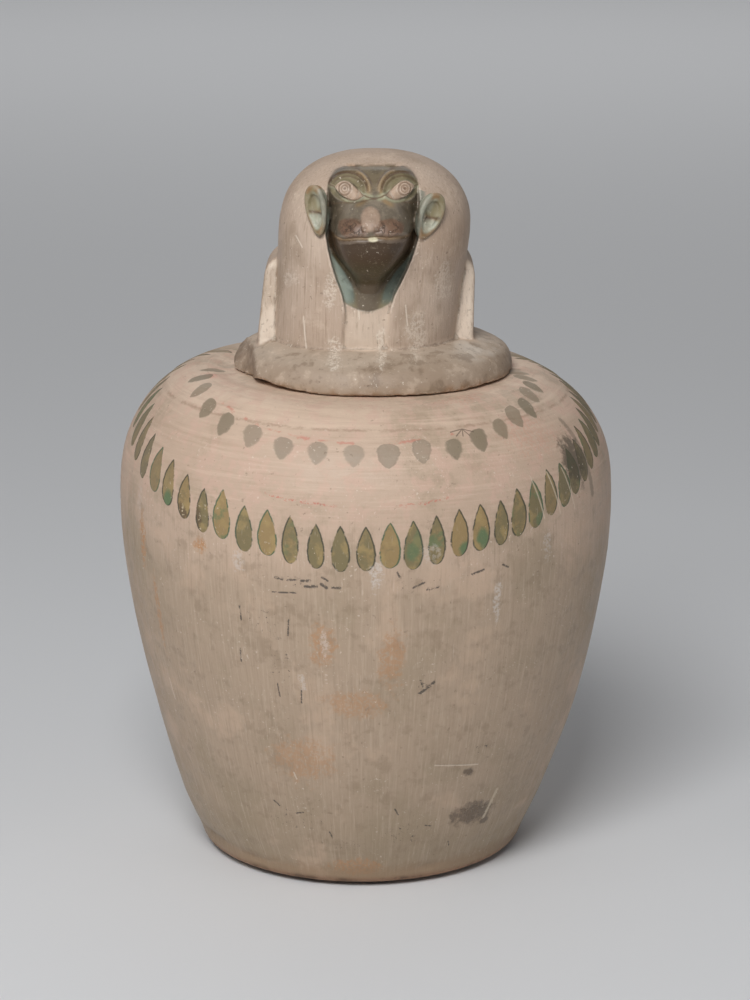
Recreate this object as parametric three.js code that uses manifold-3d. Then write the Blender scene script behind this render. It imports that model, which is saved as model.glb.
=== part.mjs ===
// A pottery canopic jar with a baboon-headed lid.
// Millimetres, +Z up, the face towards -Y, origin at the centre of the jar's underside.
import * as THREE from 'three';
import { mergeVertices } from 'three/addons/utils/BufferGeometryUtils.js';
import Module from 'manifold-3d';

const wasm = await Module();
wasm.setup();

// ---------- driving dimensions ----------

const JAR = {
  footRadius: 89,        // flat underside
  footRound: 9,          // soft edge between the underside and the wall
  bellyRadius: 146,
  bellyHeight: 210,      // where the jar is widest
  taper: 42.3,           // how much narrower the wall is at taperHeight than at the belly
  taperHeight: 20,
  taperPower: 1.7,
  shoulderCrown: 302,    // height at which the shoulder's curve would close over
  shoulderPower: 3,
  seatRadius: 104,       // where the shoulder flattens to carry the lid
  seatHeight: 288.8,
  mouthRadius: 60,
  lipRadius: 72,         // outer edge of the level lip round the mouth
  lipHeight: 291,
  lipRound: 1.5,
  wall: 10.5,
  floor: 15,
  floorRound: 8,
  segments: 44,
};

const LID = {
  offsetX: 4.4,          // the lid sits a little off the jar's axis
  gap: 0.3,              // between the disc's underside and the lip
  ringRadius: 55.5,      // the locating ring that hangs into the mouth
  ringDepth: 15,
  ringRound: 1.5,
  cavityRadius: 43,
  cavityShoulder: 335,   // the hollow is straight up to here, then domed
  cavityTop: 392,
  segments: 48,
};
const DISC_BOTTOM = JAR.lipHeight + LID.gap;
// The disc's edge, from the underside over the sloping rim: radius, height above the underside.
const DISC_EDGE = [
  [80.5, 0], [82.5, 2], [81.9, 6], [79, 11], [74, 16.5], [68.5, 19], [59.5, 20.7],
];
// A piece broken from the disc's rim beside the face, in plan: the broken edge, then points outside.
const BREAK = [[-83, -4], [-70, -34], [-68, -49], [-96, -49], [-96, -4]];

const WIG = {
  foot: 299,             // inside the disc
  top: 420,
  domeBase: 375,         // the dome rises from here
  halfWidth: 56,
  depth: 54,             // to the front and to the back
  domePower: 2.5,        // squareness of the dome seen from the front
  planPower: 2.3,        // squareness of the wig seen from above
  waist: 0.945,          // the lappets are this much narrower than the dome
  waistHeight: 335,
  domeRings: 9,
  segments: 38,
};
const RECESS = 3.6;      // how far the face and the chest lie behind the wig's surface
const LEAN = { shift: -4.5, from: 385, to: 315 };   // the head drifts sideways towards its foot

// The thick back of the wig, wider than the dome.
const SLAB = { halfWidth: 61.5, topHalfWidth: 59.5, depth: 57, front: 8, top: 357, corner: 6 };

// The opening round the face, then the gap between the lappets: half-width and height.
const FACE_OPENING = [
  [0, 414.5], [17, 413.8], [24.5, 408], [26.2, 394], [25.5, 376], [22, 358], [15.5, 344], [12.6, 334],
];

// The baboon's face from the throat to the brow: height, half-width, how far forward it reaches.
const FACE = [
  [348, 10, 50.3], [353, 12.5, 55.5], [359, 16.2, 63.5], [365, 19, 69.5], [372, 21.4, 74],
  [379, 22.8, 76], [386, 23.6, 75.5], [392, 24.4, 70.5], [398, 25, 61], [404, 25.5, 51.5],
  [410, 23.5, 43.5], [413.5, 17, 37],
];
const FACE_ROOT = { y: -24, back: 6, power: 4, steps: 15, segments: 26 };

const EYE = { x: 16.2, y: -46.2, z: 403.6, size: [7.4, 3.4, 4.2], turn: 0.35 };
const BROW = { x: 13, y: -41.6, z: 409.6, size: [11.5, 4, 2.2], tilt: 0.16 };
const NOSE = { y: -71.5, z: 389, size: [6, 5.8, 5] };
const MOUTH = { z: 380.6, halfWidth: 24, height: 1.4, back: -73 };
const EARS = [
  { side: -1, x: 33.6, y: -43.5, z: 392.4 },
  { side: 1, x: 33.4, y: -43.5, z: 388.2 },
];
const EAR = {
  size: [7.6, 3.8, 13.2], bowl: [5.2, 2.6, 9.6], bowlShift: [1.6, -3, 0.8], turn: 0.72, tilt: 0.2,
};

// Extrusions used as cutters reach this far past what they cut.
const CUTTER = { front: -95, back: -20, below: 280, above: 330 };

// ---------- helpers ----------

const clamp01 = (value) => Math.min(1, Math.max(0, value));
const mix = (a, b, t) => a + (b - a) * t;
const smooth = (t) => t * t * (3 - 2 * t);
const toVectors = (points) => points.map(([x, y]) => new THREE.Vector2(x, y));

/** Turns a closed three.js geometry into a solid that can be joined and cut. */
function solid(geometry) {
  const bare = geometry.clone();
  bare.deleteAttribute('normal');
  bare.deleteAttribute('uv');
  const merged = mergeVertices(bare, 1e-4);
  const { array } = merged.index;
  const corners = [];
  for (let i = 0; i < array.length; i += 3) {
    const [a, b, c] = array.slice(i, i + 3);
    if (a !== b && b !== c && c !== a) corners.push(a, b, c);
  }
  return new wasm.Manifold(new wasm.Mesh({
    numProp: 3,
    vertProperties: new Float32Array(merged.attributes.position.array),
    triVerts: new Uint32Array(corners),
  }));
}

/** Turns a solid back into a three.js geometry. */
function geometryOf(manifold) {
  const mesh = manifold.getMesh();
  const geometry = new THREE.BufferGeometry();
  geometry.setAttribute('position', new THREE.BufferAttribute(mesh.vertProperties, 3));
  geometry.setIndex(new THREE.BufferAttribute(mesh.triVerts, 1));
  geometry.computeVertexNormals();
  return geometry;
}

/** Moves every vertex of a geometry with move(point, index). */
function reshape(geometry, move) {
  const position = geometry.attributes.position;
  const point = new THREE.Vector3();
  for (let i = 0; i < position.count; i += 1) {
    point.fromBufferAttribute(position, i);
    move(point, i);
    position.setXYZ(i, point.x, point.y, point.z);
  }
  return geometry;
}

/** A surface of revolution about Z from [radius, height] points. */
function revolve(points, segments) {
  return new THREE.LatheGeometry(toVectors(points), segments).rotateX(Math.PI / 2);
}

/** Slides a point of the head sideways, the more the nearer it is to the disc. */
function lean(point) {
  point.x += LEAN.shift * clamp01((LEAN.from - point.z) / (LEAN.from - LEAN.to));
}

/** Turns a unit circle in plan into a squarish oval with its own front and back depth. */
function squareOff(point, halfWidth, front, back, power) {
  const share = Math.hypot(point.x, point.y);
  if (share < 1e-6) return;
  const depth = point.y < 0 ? front : back;
  const across = Math.abs(point.x / share / halfWidth) ** power;
  const along = Math.abs(point.y / share / depth) ** power;
  const reach = (across + along) ** (-1 / power);
  point.x *= reach;
  point.y *= reach;
}

/** An egg shape with three half-sizes, tilted about Y, turned about Z and set at a place. */
function egg([sx, sy, sz], [x, y, z], { turn = 0, tilt = 0 } = {}) {
  const geometry = new THREE.SphereGeometry(1, 14, 8).rotateX(Math.PI / 2);
  geometry.scale(sx, sy, sz).rotateY(tilt).rotateZ(turn).translate(x, y, z);
  return solid(reshape(geometry, lean));
}

/** A shape drawn in front view (x, z), given thickness from y = front to y = back. */
function slice(shape, front, back) {
  const geometry = new THREE.ExtrudeGeometry(shape, {
    depth: back - front, bevelEnabled: false, curveSegments: 8,
  });
  return solid(reshape(geometry.rotateX(Math.PI / 2).translate(0, back, 0), lean));
}

// ---------- jar ----------

/** The wall's outer radius at a height between the foot and the belly. */
function bodyRadius(height) {
  const t = (JAR.bellyHeight - height) / (JAR.bellyHeight - JAR.taperHeight);
  return JAR.bellyRadius - JAR.taper * t ** JAR.taperPower;
}

/** The outer surface from the underside's edge to the lip, as [radius, height] points. */
function jarOutline() {
  const points = [];
  const footSteps = 3;
  const footFlare = bodyRadius(JAR.footRound) - JAR.footRadius;
  for (let i = 0; i <= footSteps; i += 1) {
    const angle = (Math.PI / 2) * (i / footSteps);
    points.push([
      JAR.footRadius + footFlare * Math.sin(angle),
      JAR.footRound * (1 - Math.cos(angle)),
    ]);
  }
  const bodySteps = 9;
  for (let i = 1; i <= bodySteps; i += 1) {
    const height = mix(JAR.footRound, JAR.bellyHeight, i / bodySteps);
    points.push([bodyRadius(height), height]);
  }
  const shoulderSteps = 9;
  const power = 2 / JAR.shoulderPower;
  const lastAngle = Math.acos((JAR.seatRadius / JAR.bellyRadius) ** (1 / power));
  for (let i = 1; i < shoulderSteps; i += 1) {
    const angle = lastAngle * (i / shoulderSteps);
    points.push([
      JAR.bellyRadius * Math.cos(angle) ** power,
      mix(JAR.bellyHeight, JAR.shoulderCrown, Math.sin(angle) ** power),
    ]);
  }
  points.push([JAR.seatRadius, JAR.seatHeight], [JAR.lipRadius, JAR.lipHeight]);
  return points;
}

/** The outline moved in by the wall's thickness, from the mouth down to the floor. */
function jarLining(outline) {
  const points = [];
  for (let i = outline.length - 2; i > 0; i -= 1) {
    const [r0, z0] = outline[i - 1];
    const [r1, z1] = outline[i + 1];
    const length = Math.hypot(r1 - r0, z1 - z0);
    const radius = outline[i][0] - (JAR.wall * (z1 - z0)) / length;
    const height = outline[i][1] + (JAR.wall * (r1 - r0)) / length;
    if (height > JAR.floor + 2 * JAR.floorRound) points.push([radius, height]);
  }
  return points;
}

function makeJar() {
  const outline = jarOutline();
  const lining = jarLining(outline);
  const cornerHeight = JAR.floor + JAR.floorRound;
  const cornerRadius = bodyRadius(cornerHeight) - JAR.wall;
  return revolve([
    [0, 0], ...outline,
    [JAR.mouthRadius + JAR.lipRound, JAR.lipHeight], [JAR.mouthRadius, JAR.lipHeight - JAR.lipRound],
    [JAR.mouthRadius, JAR.lipHeight - JAR.wall], ...lining,
    [cornerRadius, cornerHeight], [cornerRadius - JAR.floorRound, JAR.floor], [0, JAR.floor],
  ], JAR.segments);
}

// ---------- lid ----------

/** The wig's width at a height, as a share of its width where the dome begins. */
function wigShare(height, top) {
  if (height <= WIG.domeBase) {
    const t = clamp01((WIG.domeBase - height) / (WIG.domeBase - WIG.waistHeight));
    return mix(1, WIG.waist, smooth(t));
  }
  const t = (height - WIG.domeBase) / (top - WIG.domeBase);
  return (1 - t ** WIG.domePower) ** (1 / WIG.domePower);
}

/** The wig's rounded mass, drawn in by an inset on all sides. */
function wigMass(inset) {
  const top = WIG.top - inset;
  const heights = [WIG.foot];
  const waistSteps = 3;
  for (let i = 0; i <= waistSteps; i += 1) {
    heights.push(mix(WIG.waistHeight, WIG.domeBase, i / waistSteps));
  }
  for (let i = 1; i < WIG.domeRings; i += 1) {
    const angle = (Math.PI / 2) * (i / WIG.domeRings);
    heights.push(mix(WIG.domeBase, top, Math.sin(angle) ** (2 / WIG.domePower)));
  }
  const profile = [[0, WIG.foot], ...heights.map((z) => [wigShare(z, top), z]), [0, top]];
  const depth = WIG.depth - inset;
  return solid(reshape(revolve(profile, WIG.segments), (point) => {
    squareOff(point, WIG.halfWidth - inset, depth, depth, WIG.planPower);
    lean(point);
  }));
}

/** What is cut from the wig's front: the opening for the face and the gap between the lappets. */
function faceOpening() {
  const right = toVectors(FACE_OPENING);
  const left = toVectors(FACE_OPENING.slice(1).map(([x, z]) => [-x, z])).reverse();
  const [chestHalfWidth] = FACE_OPENING[FACE_OPENING.length - 1];
  const shape = new THREE.Shape();
  shape.moveTo(-chestHalfWidth, WIG.foot);
  shape.lineTo(left[0].x, left[0].y);
  shape.splineThru([...left.slice(1), ...right]);
  shape.lineTo(chestHalfWidth, WIG.foot);
  return slice(shape, CUTTER.front, CUTTER.back);
}

/** The wide back of the wig: round behind, cut flat in front, with soft top corners. */
function wigBack() {
  const { halfWidth, topHalfWidth, top, corner } = SLAB;
  const shape = new THREE.Shape();
  shape.moveTo(-halfWidth, WIG.foot);
  shape.lineTo(halfWidth, WIG.foot);
  shape.absarc(topHalfWidth - corner, top - corner, corner, 0, Math.PI / 2);
  shape.absarc(corner - topHalfWidth, top - corner, corner, Math.PI / 2, Math.PI);
  const round = new THREE.CylinderGeometry(1, 1, WIG.top, WIG.segments).rotateX(Math.PI / 2);
  round.scale(halfWidth + 1, SLAB.depth, 1).translate(0, 0, WIG.top / 2);
  return slice(shape, SLAB.front, SLAB.depth + 1).intersect(solid(reshape(round, lean)));
}

/** The baboon's face: a stack of rounded sections from the throat to the brow. */
function faceMass() {
  const places = FACE.map(([z, width, reach]) => new THREE.Vector3(width, reach, z));
  const sections = new THREE.CatmullRomCurve3(places).getPoints(FACE_ROOT.steps);
  const last = sections.length - 1;
  const rings = [sections[0], ...sections, sections[last]];
  const profile = rings.map(({ z }, i) => [i === 0 || i === rings.length - 1 ? 0 : 1, z]);
  return solid(reshape(revolve(profile, FACE_ROOT.segments), (point, i) => {
    const { x: halfWidth, y: reach } = rings[i % rings.length];
    squareOff(point, halfWidth, reach + FACE_ROOT.y, FACE_ROOT.back, FACE_ROOT.power);
    point.y += FACE_ROOT.y;
    lean(point);
  }));
}

/** An ear that lies against the wig, with its hollow. */
function ear({ side, x, y, z }) {
  const pose = { turn: side * EAR.turn, tilt: side * EAR.tilt };
  const [dx, dy, dz] = EAR.bowlShift;
  const bowl = egg(EAR.bowl, [side * (x + dx), y + dy, z + dz], pose);
  return egg(EAR.size, [side * x, y, z], pose).subtract(bowl);
}

/** The slit of the mouth, to be cut from the muzzle. */
function mouthSlit() {
  const { halfWidth, height, back, z } = MOUTH;
  const depth = back - CUTTER.front;
  const slit = new THREE.BoxGeometry(halfWidth * 2, depth, height);
  return solid(slit.translate(0, back - depth / 2, z));
}

function makeHead() {
  let head = wigMass(0).subtract(faceOpening()).add(wigMass(RECESS)).add(wigBack()).add(faceMass());
  for (const side of [-1, 1]) {
    head = head.add(egg(BROW.size, [side * BROW.x, BROW.y, BROW.z], { tilt: side * BROW.tilt }));
    head = head.add(egg(EYE.size, [side * EYE.x, EYE.y, EYE.z], { turn: side * EYE.turn }));
  }
  head = head.add(egg(NOSE.size, [0, NOSE.y, NOSE.z])).subtract(mouthSlit());
  for (const place of EARS) head = head.add(ear(place));
  return head;
}

/** The hollow inside the lid, open downwards through the locating ring. */
function lidCavity() {
  const domeSteps = 6;
  const foot = CUTTER.below - LID.ringDepth;
  const profile = [[0, foot], [LID.cavityRadius, foot]];
  for (let i = 0; i < domeSteps; i += 1) {
    const angle = (Math.PI / 2) * (i / domeSteps);
    profile.push([
      LID.cavityRadius * Math.cos(angle),
      mix(LID.cavityShoulder, LID.cavityTop, Math.sin(angle)),
    ]);
  }
  profile.push([0, LID.cavityTop]);
  return solid(revolve(profile, LID.segments));
}

function makeLid() {
  const edge = DISC_EDGE.map(([radius, rise]) => [radius, DISC_BOTTOM + rise]);
  const discTop = edge[edge.length - 1][1];
  const disc = solid(revolve([[0, DISC_BOTTOM], ...edge, [0, discTop]], LID.segments));

  const ringFoot = DISC_BOTTOM - LID.ringDepth;
  const ring = solid(revolve([
    [0, ringFoot], [LID.ringRadius - LID.ringRound, ringFoot],
    [LID.ringRadius, ringFoot + LID.ringRound], [LID.ringRadius, discTop - 1], [0, discTop - 1],
  ], LID.segments));

  const broken = new THREE.ExtrudeGeometry(new THREE.Shape(toVectors(BREAK)), {
    depth: CUTTER.above - CUTTER.below, bevelEnabled: false,
  }).translate(0, 0, CUTTER.below);

  const lid = disc.add(ring).add(makeHead()).subtract(lidCavity()).subtract(solid(broken));
  return geometryOf(lid).translate(LID.offsetX, 0, 0);
}

// ---------- the model ----------

const jarClay = new THREE.MeshStandardMaterial({ color: 0xb09a8a, roughness: 0.75, metalness: 0 });
const lidClay = new THREE.MeshStandardMaterial({ color: 0xa08a7a, roughness: 0.7, metalness: 0 });

const jar = new THREE.Mesh(makeJar(), jarClay);
jar.name = 'jar';
const lid = new THREE.Mesh(makeLid(), lidClay);
lid.name = 'lid';

const model = new THREE.Group();
model.add(jar, lid);

export default model;
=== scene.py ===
# A pottery canopic jar with a baboon-headed lid, finished for rendering.
# The frame holds the solids in metres. Shapes here are worked out in millimetres and scaled at the end.
import math

import bmesh
import bpy
import numpy as np
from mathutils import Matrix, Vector


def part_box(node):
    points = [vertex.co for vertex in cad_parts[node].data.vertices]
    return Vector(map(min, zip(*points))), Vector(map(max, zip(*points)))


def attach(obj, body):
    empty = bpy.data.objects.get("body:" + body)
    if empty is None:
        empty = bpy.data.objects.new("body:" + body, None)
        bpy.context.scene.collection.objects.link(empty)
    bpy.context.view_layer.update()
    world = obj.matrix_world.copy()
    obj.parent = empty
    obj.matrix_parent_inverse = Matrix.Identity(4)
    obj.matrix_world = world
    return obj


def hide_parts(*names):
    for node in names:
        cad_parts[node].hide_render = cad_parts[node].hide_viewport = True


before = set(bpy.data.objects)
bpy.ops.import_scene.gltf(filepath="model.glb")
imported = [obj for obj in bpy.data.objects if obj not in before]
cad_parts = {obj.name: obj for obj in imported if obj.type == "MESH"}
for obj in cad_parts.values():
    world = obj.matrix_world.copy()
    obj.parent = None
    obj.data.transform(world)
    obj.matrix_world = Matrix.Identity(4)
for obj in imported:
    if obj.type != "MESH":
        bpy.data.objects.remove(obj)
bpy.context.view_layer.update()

MM = 0.001


# ---------- small tools ----------

def box_mm(node):
    """A node's lowest and highest corners in millimetres."""
    low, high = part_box(node)
    return np.array(low) / MM, np.array(high) / MM


def ease(t):
    """0 below 0, 1 above 1, smooth between."""
    t = np.clip(t, 0.0, 1.0)
    return t * t * (3.0 - 2.0 * t)


def fade(value, start, end):
    """0 at start and 1 at end, smooth between. start may be above end."""
    return ease((value - start) / (end - start))


def hump(value, centre, width):
    """A soft bump of height 1 round a centre."""
    return np.exp(-(((value - centre) / width) ** 2))


def join(a, b, soft):
    """The union of two distance fields with a soft inner corner."""
    h = np.clip(0.5 + 0.5 * (b - a) / soft, 0.0, 1.0)
    return b + (a - b) * h - soft * h * (1.0 - h)


def meet(a, b, soft):
    """What two distance fields share, with a soft outer edge."""
    return -join(-a, -b, soft)


def carve(a, b, soft):
    """a with b taken away, with a soft outer edge."""
    return meet(a, -b, soft)


def through(table, value):
    """A smooth curve through [value, result] rows, level past both ends."""
    xs, ys = (np.array(column, float) for column in zip(*table))
    slopes = np.gradient(ys, xs)
    i = np.clip(np.searchsorted(xs, value) - 1, 0, len(xs) - 2)
    step = xs[i + 1] - xs[i]
    t = np.clip((value - xs[i]) / step, 0.0, 1.0)
    t2, t3 = t * t, t * t * t
    start = (2 * t3 - 3 * t2 + 1) * ys[i] + (t3 - 2 * t2 + t) * step * slopes[i]
    return start + (3 * t2 - 2 * t3) * ys[i + 1] + (t3 - t2) * step * slopes[i + 1]


def lattice(i, j, k, seed):
    """A repeatable random number from 0 to 1 for each whole-number place."""
    n = (i * 73856093) ^ (j * 19349663) ^ (k * 83492791) ^ (seed * 2654435761)
    n = (n ^ (n >> 13)) * 1274126177
    return ((n ^ (n >> 16)) & 0xFFFFFF) / float(0xFFFFFF)


def rough(points, size, seed=0, octaves=1):
    """Smooth noise from -1 to 1 at each point, with features about size across."""
    total = np.zeros(len(points))
    weight, share = 0.0, 1.0
    for octave in range(octaves):
        p = points / size * 2.0 ** octave + 31.7 * octave
        base = np.floor(p).astype(np.int64)
        t = p - base
        t = t * t * (3.0 - 2.0 * t)
        value = np.zeros(len(points))
        for dx in (0, 1):
            for dy in (0, 1):
                for dz in (0, 1):
                    corner = lattice(base[:, 0] + dx, base[:, 1] + dy, base[:, 2] + dz, seed + octave)
                    wx = t[:, 0] if dx else 1 - t[:, 0]
                    wy = t[:, 1] if dy else 1 - t[:, 1]
                    wz = t[:, 2] if dz else 1 - t[:, 2]
                    value += corner * wx * wy * wz
        total += (value * 2.0 - 1.0) * share
        weight += share
        share *= 0.5
    return total / weight


# ---------- the lid's form ----------

lid_low, lid_high = box_mm("lid")
jar_low, jar_high = box_mm("jar")
LID_X = (lid_low[0] + lid_high[0]) / 2
DISC_R = (lid_high[1] - lid_low[1]) / 2
DISC_Z = jar_high[2] + 0.3                  # the disc's underside, just clear of the jar's lip
TOP_Z = lid_high[2]
RING_FOOT = lid_low[2]

WIG_HALF = 56.0
WIG_DEPTH = 54.0
DOME_Z = TOP_Z - 45.0
# Heights with the half-width of the opening that frames the face and, lower down, the chest.
OPENING = [(296, 13.6), (318, 13.4), (334, 12.8), (343, 14.6), (355, 19.6), (368, 24.0), (378, 26.4),
           (394, 26.6), (408, 25.4), (416, 23.2)]
OPENING_TOP = 414.6
# Heights with how far the surface inside the opening lies behind the wig.
RECESS = [(300, 2.2), (328, 2.4), (336, 3.6), (348, 6.0), (358, 8.0), (374, 7.6), (392, 4.6),
          (408, 2.8), (416, 2.0)]
# Height, half-width and reach forward of the flat of the face, then of the muzzle and jaw.
FACE = [(338, 6, 44), (350, 8, 47), (356, 12, 49.5), (362, 17.5, 51.5), (368, 22.0, 53.5), (376, 24.8, 53.4),
        (388, 25.8, 52.3), (398, 26.2, 51.3), (404.5, 26.0, 50), (409, 25.0, 45.5),
        (413, 21, 38), (416, 16, 32)]
MUZZLE = [(344, 6.5, 46), (350, 8.5, 53), (355, 10.5, 59.5), (361, 14.6, 66.5), (367, 18.2, 71.2),
          (373, 20.8, 74.5), (379, 22.2, 75.8), (384, 22.3, 75.4), (389, 21.2, 72.6), (394, 19, 67),
          (399, 15.5, 60.5), (403, 11, 54.5), (408, 8, 47)]
FACE_BACK = 24.0


LEAN_MOST, LEAN_FROM, LEAN_TO = -4.5, 385.0, 315.0


def lean(z):
    """How far the head has drifted sideways at a height."""
    return LEAN_MOST * np.clip((LEAN_FROM - z) / (LEAN_FROM - LEAN_TO), 0.0, 1.0)


def oval(x, y, half, depth, power):
    """1 on a squarish oval, less inside it."""
    return (np.abs(x / half) ** power + np.abs(y / depth) ** power) ** (1.0 / power)


def egg(x, y, z, sx, sy, sz):
    """A rough distance to an egg shape with the given half-sizes."""
    k0 = np.sqrt((x / sx) ** 2 + (y / sy) ** 2 + (z / sz) ** 2)
    k1 = np.sqrt((x / sx ** 2) ** 2 + (y / sy ** 2) ** 2 + (z / sz ** 2) ** 2) + 1e-9
    return k0 * (k0 - 1.0) / k1


def wig_field(u, y, z):
    """The wig: upright below, a flattened dome above, on a squarish oval plan."""
    u = u - 1.3 * fade(z, 325, 372)
    plan = oval(u, y, WIG_HALF, WIG_DEPTH, 2.3)
    rise = np.clip((z - DOME_Z) / (TOP_Z - DOME_Z), 0.0, None)
    waist = 1.0 - 0.03 * fade(z, DOME_Z, DOME_Z - 40)
    return ((plan ** 2.3 + rise ** 2.3) ** (1 / 2.3) / waist - 1.0) * WIG_DEPTH


def opening_field(u, z):
    """Below 0 inside the opening that frames the face and the chest."""
    side = (np.abs(u) - through(OPENING, z)) * 0.94
    return meet(side, z - OPENING_TOP - 0.002 * u * u, 11.0)


def stacked(u, y, z, table, power):
    """Rounded sections one above another, from [height, half-width, reach forward] rows."""
    half = through([(row[0], row[1]) for row in table], z)
    reach = through([(row[0], row[2]) for row in table], z) - FACE_BACK
    forward = np.clip(-y - FACE_BACK, 0.0, None)
    side = (oval(u, forward, half, reach, power) - 1.0) * np.minimum(half, reach) * 0.8
    return meet(meet(side, y + 18.0, 1.0), z - table[-1][0] + 2.0, 2.0)


def face_field(u, y, z):
    """The flat of the face with the muzzle and jaw that stand out of it."""
    return join(stacked(u, y, z, FACE, 3.6), stacked(u, y, z, MUZZLE, 3.4), 3.0)


EARS = [  # side, x, y, z, half-width, half-height, turn about the upright, tilt in its own plane
    (-1, 30.6, -44.8, 392.4, 6.4, 14.0, 0.60, 0.20),
    (1, 31.2, -44.6, 389.2, 7.4, 13.2, 0.50, 0.42),
]


def ear_places(u, y, z, ear):
    """A point in an ear's own directions: across (outwards), up and out of the wig."""
    side, x0, y0, z0, _, _, turn, tilt = ear
    dx, dy, dz = side * u - x0, y - y0, z - z0
    across = dx * math.cos(turn) + dy * math.sin(turn)
    out = dx * math.sin(turn) - dy * math.cos(turn)
    return (across * math.cos(tilt) - dz * math.sin(tilt), across * math.sin(tilt) + dz * math.cos(tilt), out)


def ear_ring(a, b, ear):
    """0 in the middle of an ear and 1 at its edge. The ear is broader above than below."""
    half, tall = ear[4], ear[5]
    return np.sqrt((a / (half + 0.10 * b)) ** 2 + (b / tall) ** 2) + 1e-6


def ear_field(u, y, z, ear):
    """An ear: a lens with a raised rim, an upper bowl and a smaller hollow below it."""
    a, b, c = ear_places(u, y, z, ear)
    ring = ear_ring(a, b, ear)
    body = (np.sqrt(ring ** 2 + (c / 4.2) ** 2) - 1.0) * 4.2
    helix = np.sqrt(((ring - 0.86) * 7.5) ** 2 + (c - 3.0) ** 2) - 1.4
    bowl = egg(a + 0.2, c - 4.4, b - 4.0, ear[4] * 0.68, 3.2, 6.4)
    concha = egg(a + 0.4, c - 4.2, b + 4.4, 3.2, 2.8, 4.8)
    field = carve(carve(body, bowl, 0.8), concha, 0.8)
    return join(field, helix, 1.0)


def slab_field(u, y, z):
    """The wide back of the wig, cut flat in front behind the lappets."""
    u = u - 0.3
    up = np.clip((z - 305.0) / 55.0, 0.0, 1.0)
    half = 63.6 - 2.6 * up
    block = meet(np.abs(u) - half, z - 359.5, 13.0)
    block = meet(block, (-20.0 + 14.0 * up) - y, 2.5)
    return meet(block, (oval(u, y, 66.5, 57.0, 2.4) - 1.0) * 57.0, 3.0)


def rim_wander(turn):
    """How far the hand-made disc's edge strays from a true circle."""
    return -0.35 + 0.35 * np.cos(2 * turn) + 0.2 * np.sin(5 * turn) + 0.15 * np.sin(9 * turn)


def disc_field(x, y, z):
    """The disc that covers the mouth: a rounded rim, a sloping top and a chipped lower edge."""
    turn = np.arctan2(y, x)
    radius = np.sqrt(x * x + y * y) - rim_wander(turn)
    height = z - DISC_Z
    chipped = 2.8 * hump(turn, -2.47, 0.17) + 0.9 * hump(turn, -2.18, 0.10)
    lift = (chipped + 0.25 + 0.25 * np.sin(7 * turn)) * fade(radius, 66.0, 81.0)
    across = np.clip(radius - 56.0, 0.0, None) / (DISC_R - 56.0)
    up = np.clip(height, 0.0, None) / 20.5
    rim = (oval(across, up, 1.0, 1.0, 2.3) - 1.0) * 20.5
    top = (height - 22.3 + (radius - 54.0) * 0.33) * 0.95
    return meet(meet(rim, top, 2.0), lift - height, 1.6)


def break_field(x, y, z):
    """Below 0 in the piece missing from the rim beside the face."""
    up = np.clip((z - 293.0) / 14.0, -0.2, 1.2)
    low_edge = -70.3 - 0.504 * (y + 28.0)
    high_edge = -67.2 - 0.112 * (y + 34.0)
    long_face = (x - low_edge - (high_edge - low_edge) * up) * 0.93
    short_face = (x + 68.0) * 0.991 + (y + 49.0) * 0.132 - 0.06 * (z - 293.0)
    return meet(long_face, short_face, 0.6)


def hollow_field(x, y, z):
    """The cavity inside the lid."""
    radius = np.sqrt(x * x + y * y)
    dome = np.sqrt((radius / 43.0) ** 2 + (np.clip(z - 335.0, 0, None) / 57.0) ** 2)
    return (dome - 1.0) * 43.0


def lid_field(x, y, z):
    """The whole lid as a distance field, below 0 in the clay."""
    x = x - LID_X
    u = x - lean(z)
    wig = wig_field(u, y, z)
    recess = wig + through(RECESS, z)
    shell = carve(wig, meet(opening_field(u, z), y + 20.0, 1.0), 1.2)
    head = join(shell, recess, 1.0)
    head = join(head, face_field(u, y, z), 1.6)
    for ear in EARS:
        head = join(head, ear_field(u, y, z, ear), 0.8)
    head = join(head, slab_field(u, y, z), 1.6)
    head = meet(head, (DISC_Z + 5.0) - z, 1.0)
    lid = join(disc_field(x, y, z), head, 1.8)
    radius = np.sqrt(x * x + y * y)
    ring = meet(radius - 55.5, RING_FOOT - z, 2.0)
    ring = meet(ring, z - DISC_Z - 3.0, 1.0)
    lid = join(lid, ring, 1.5)
    lid = carve(lid, hollow_field(x, y, z), 1.5)
    return carve(lid, break_field(x, y, z), 1.0)


# ---------- turning a field into a mesh ----------

EDGES = [((0, 0, 0), (1, 0, 0)), ((0, 1, 0), (1, 1, 0)), ((0, 0, 1), (1, 0, 1)), ((0, 1, 1), (1, 1, 1)),
         ((0, 0, 0), (0, 1, 0)), ((1, 0, 0), (1, 1, 0)), ((0, 0, 1), (0, 1, 1)), ((1, 0, 1), (1, 1, 1)),
         ((0, 0, 0), (0, 0, 1)), ((1, 0, 0), (1, 0, 1)), ((0, 1, 0), (0, 1, 1)), ((1, 1, 0), (1, 1, 1))]


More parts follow.
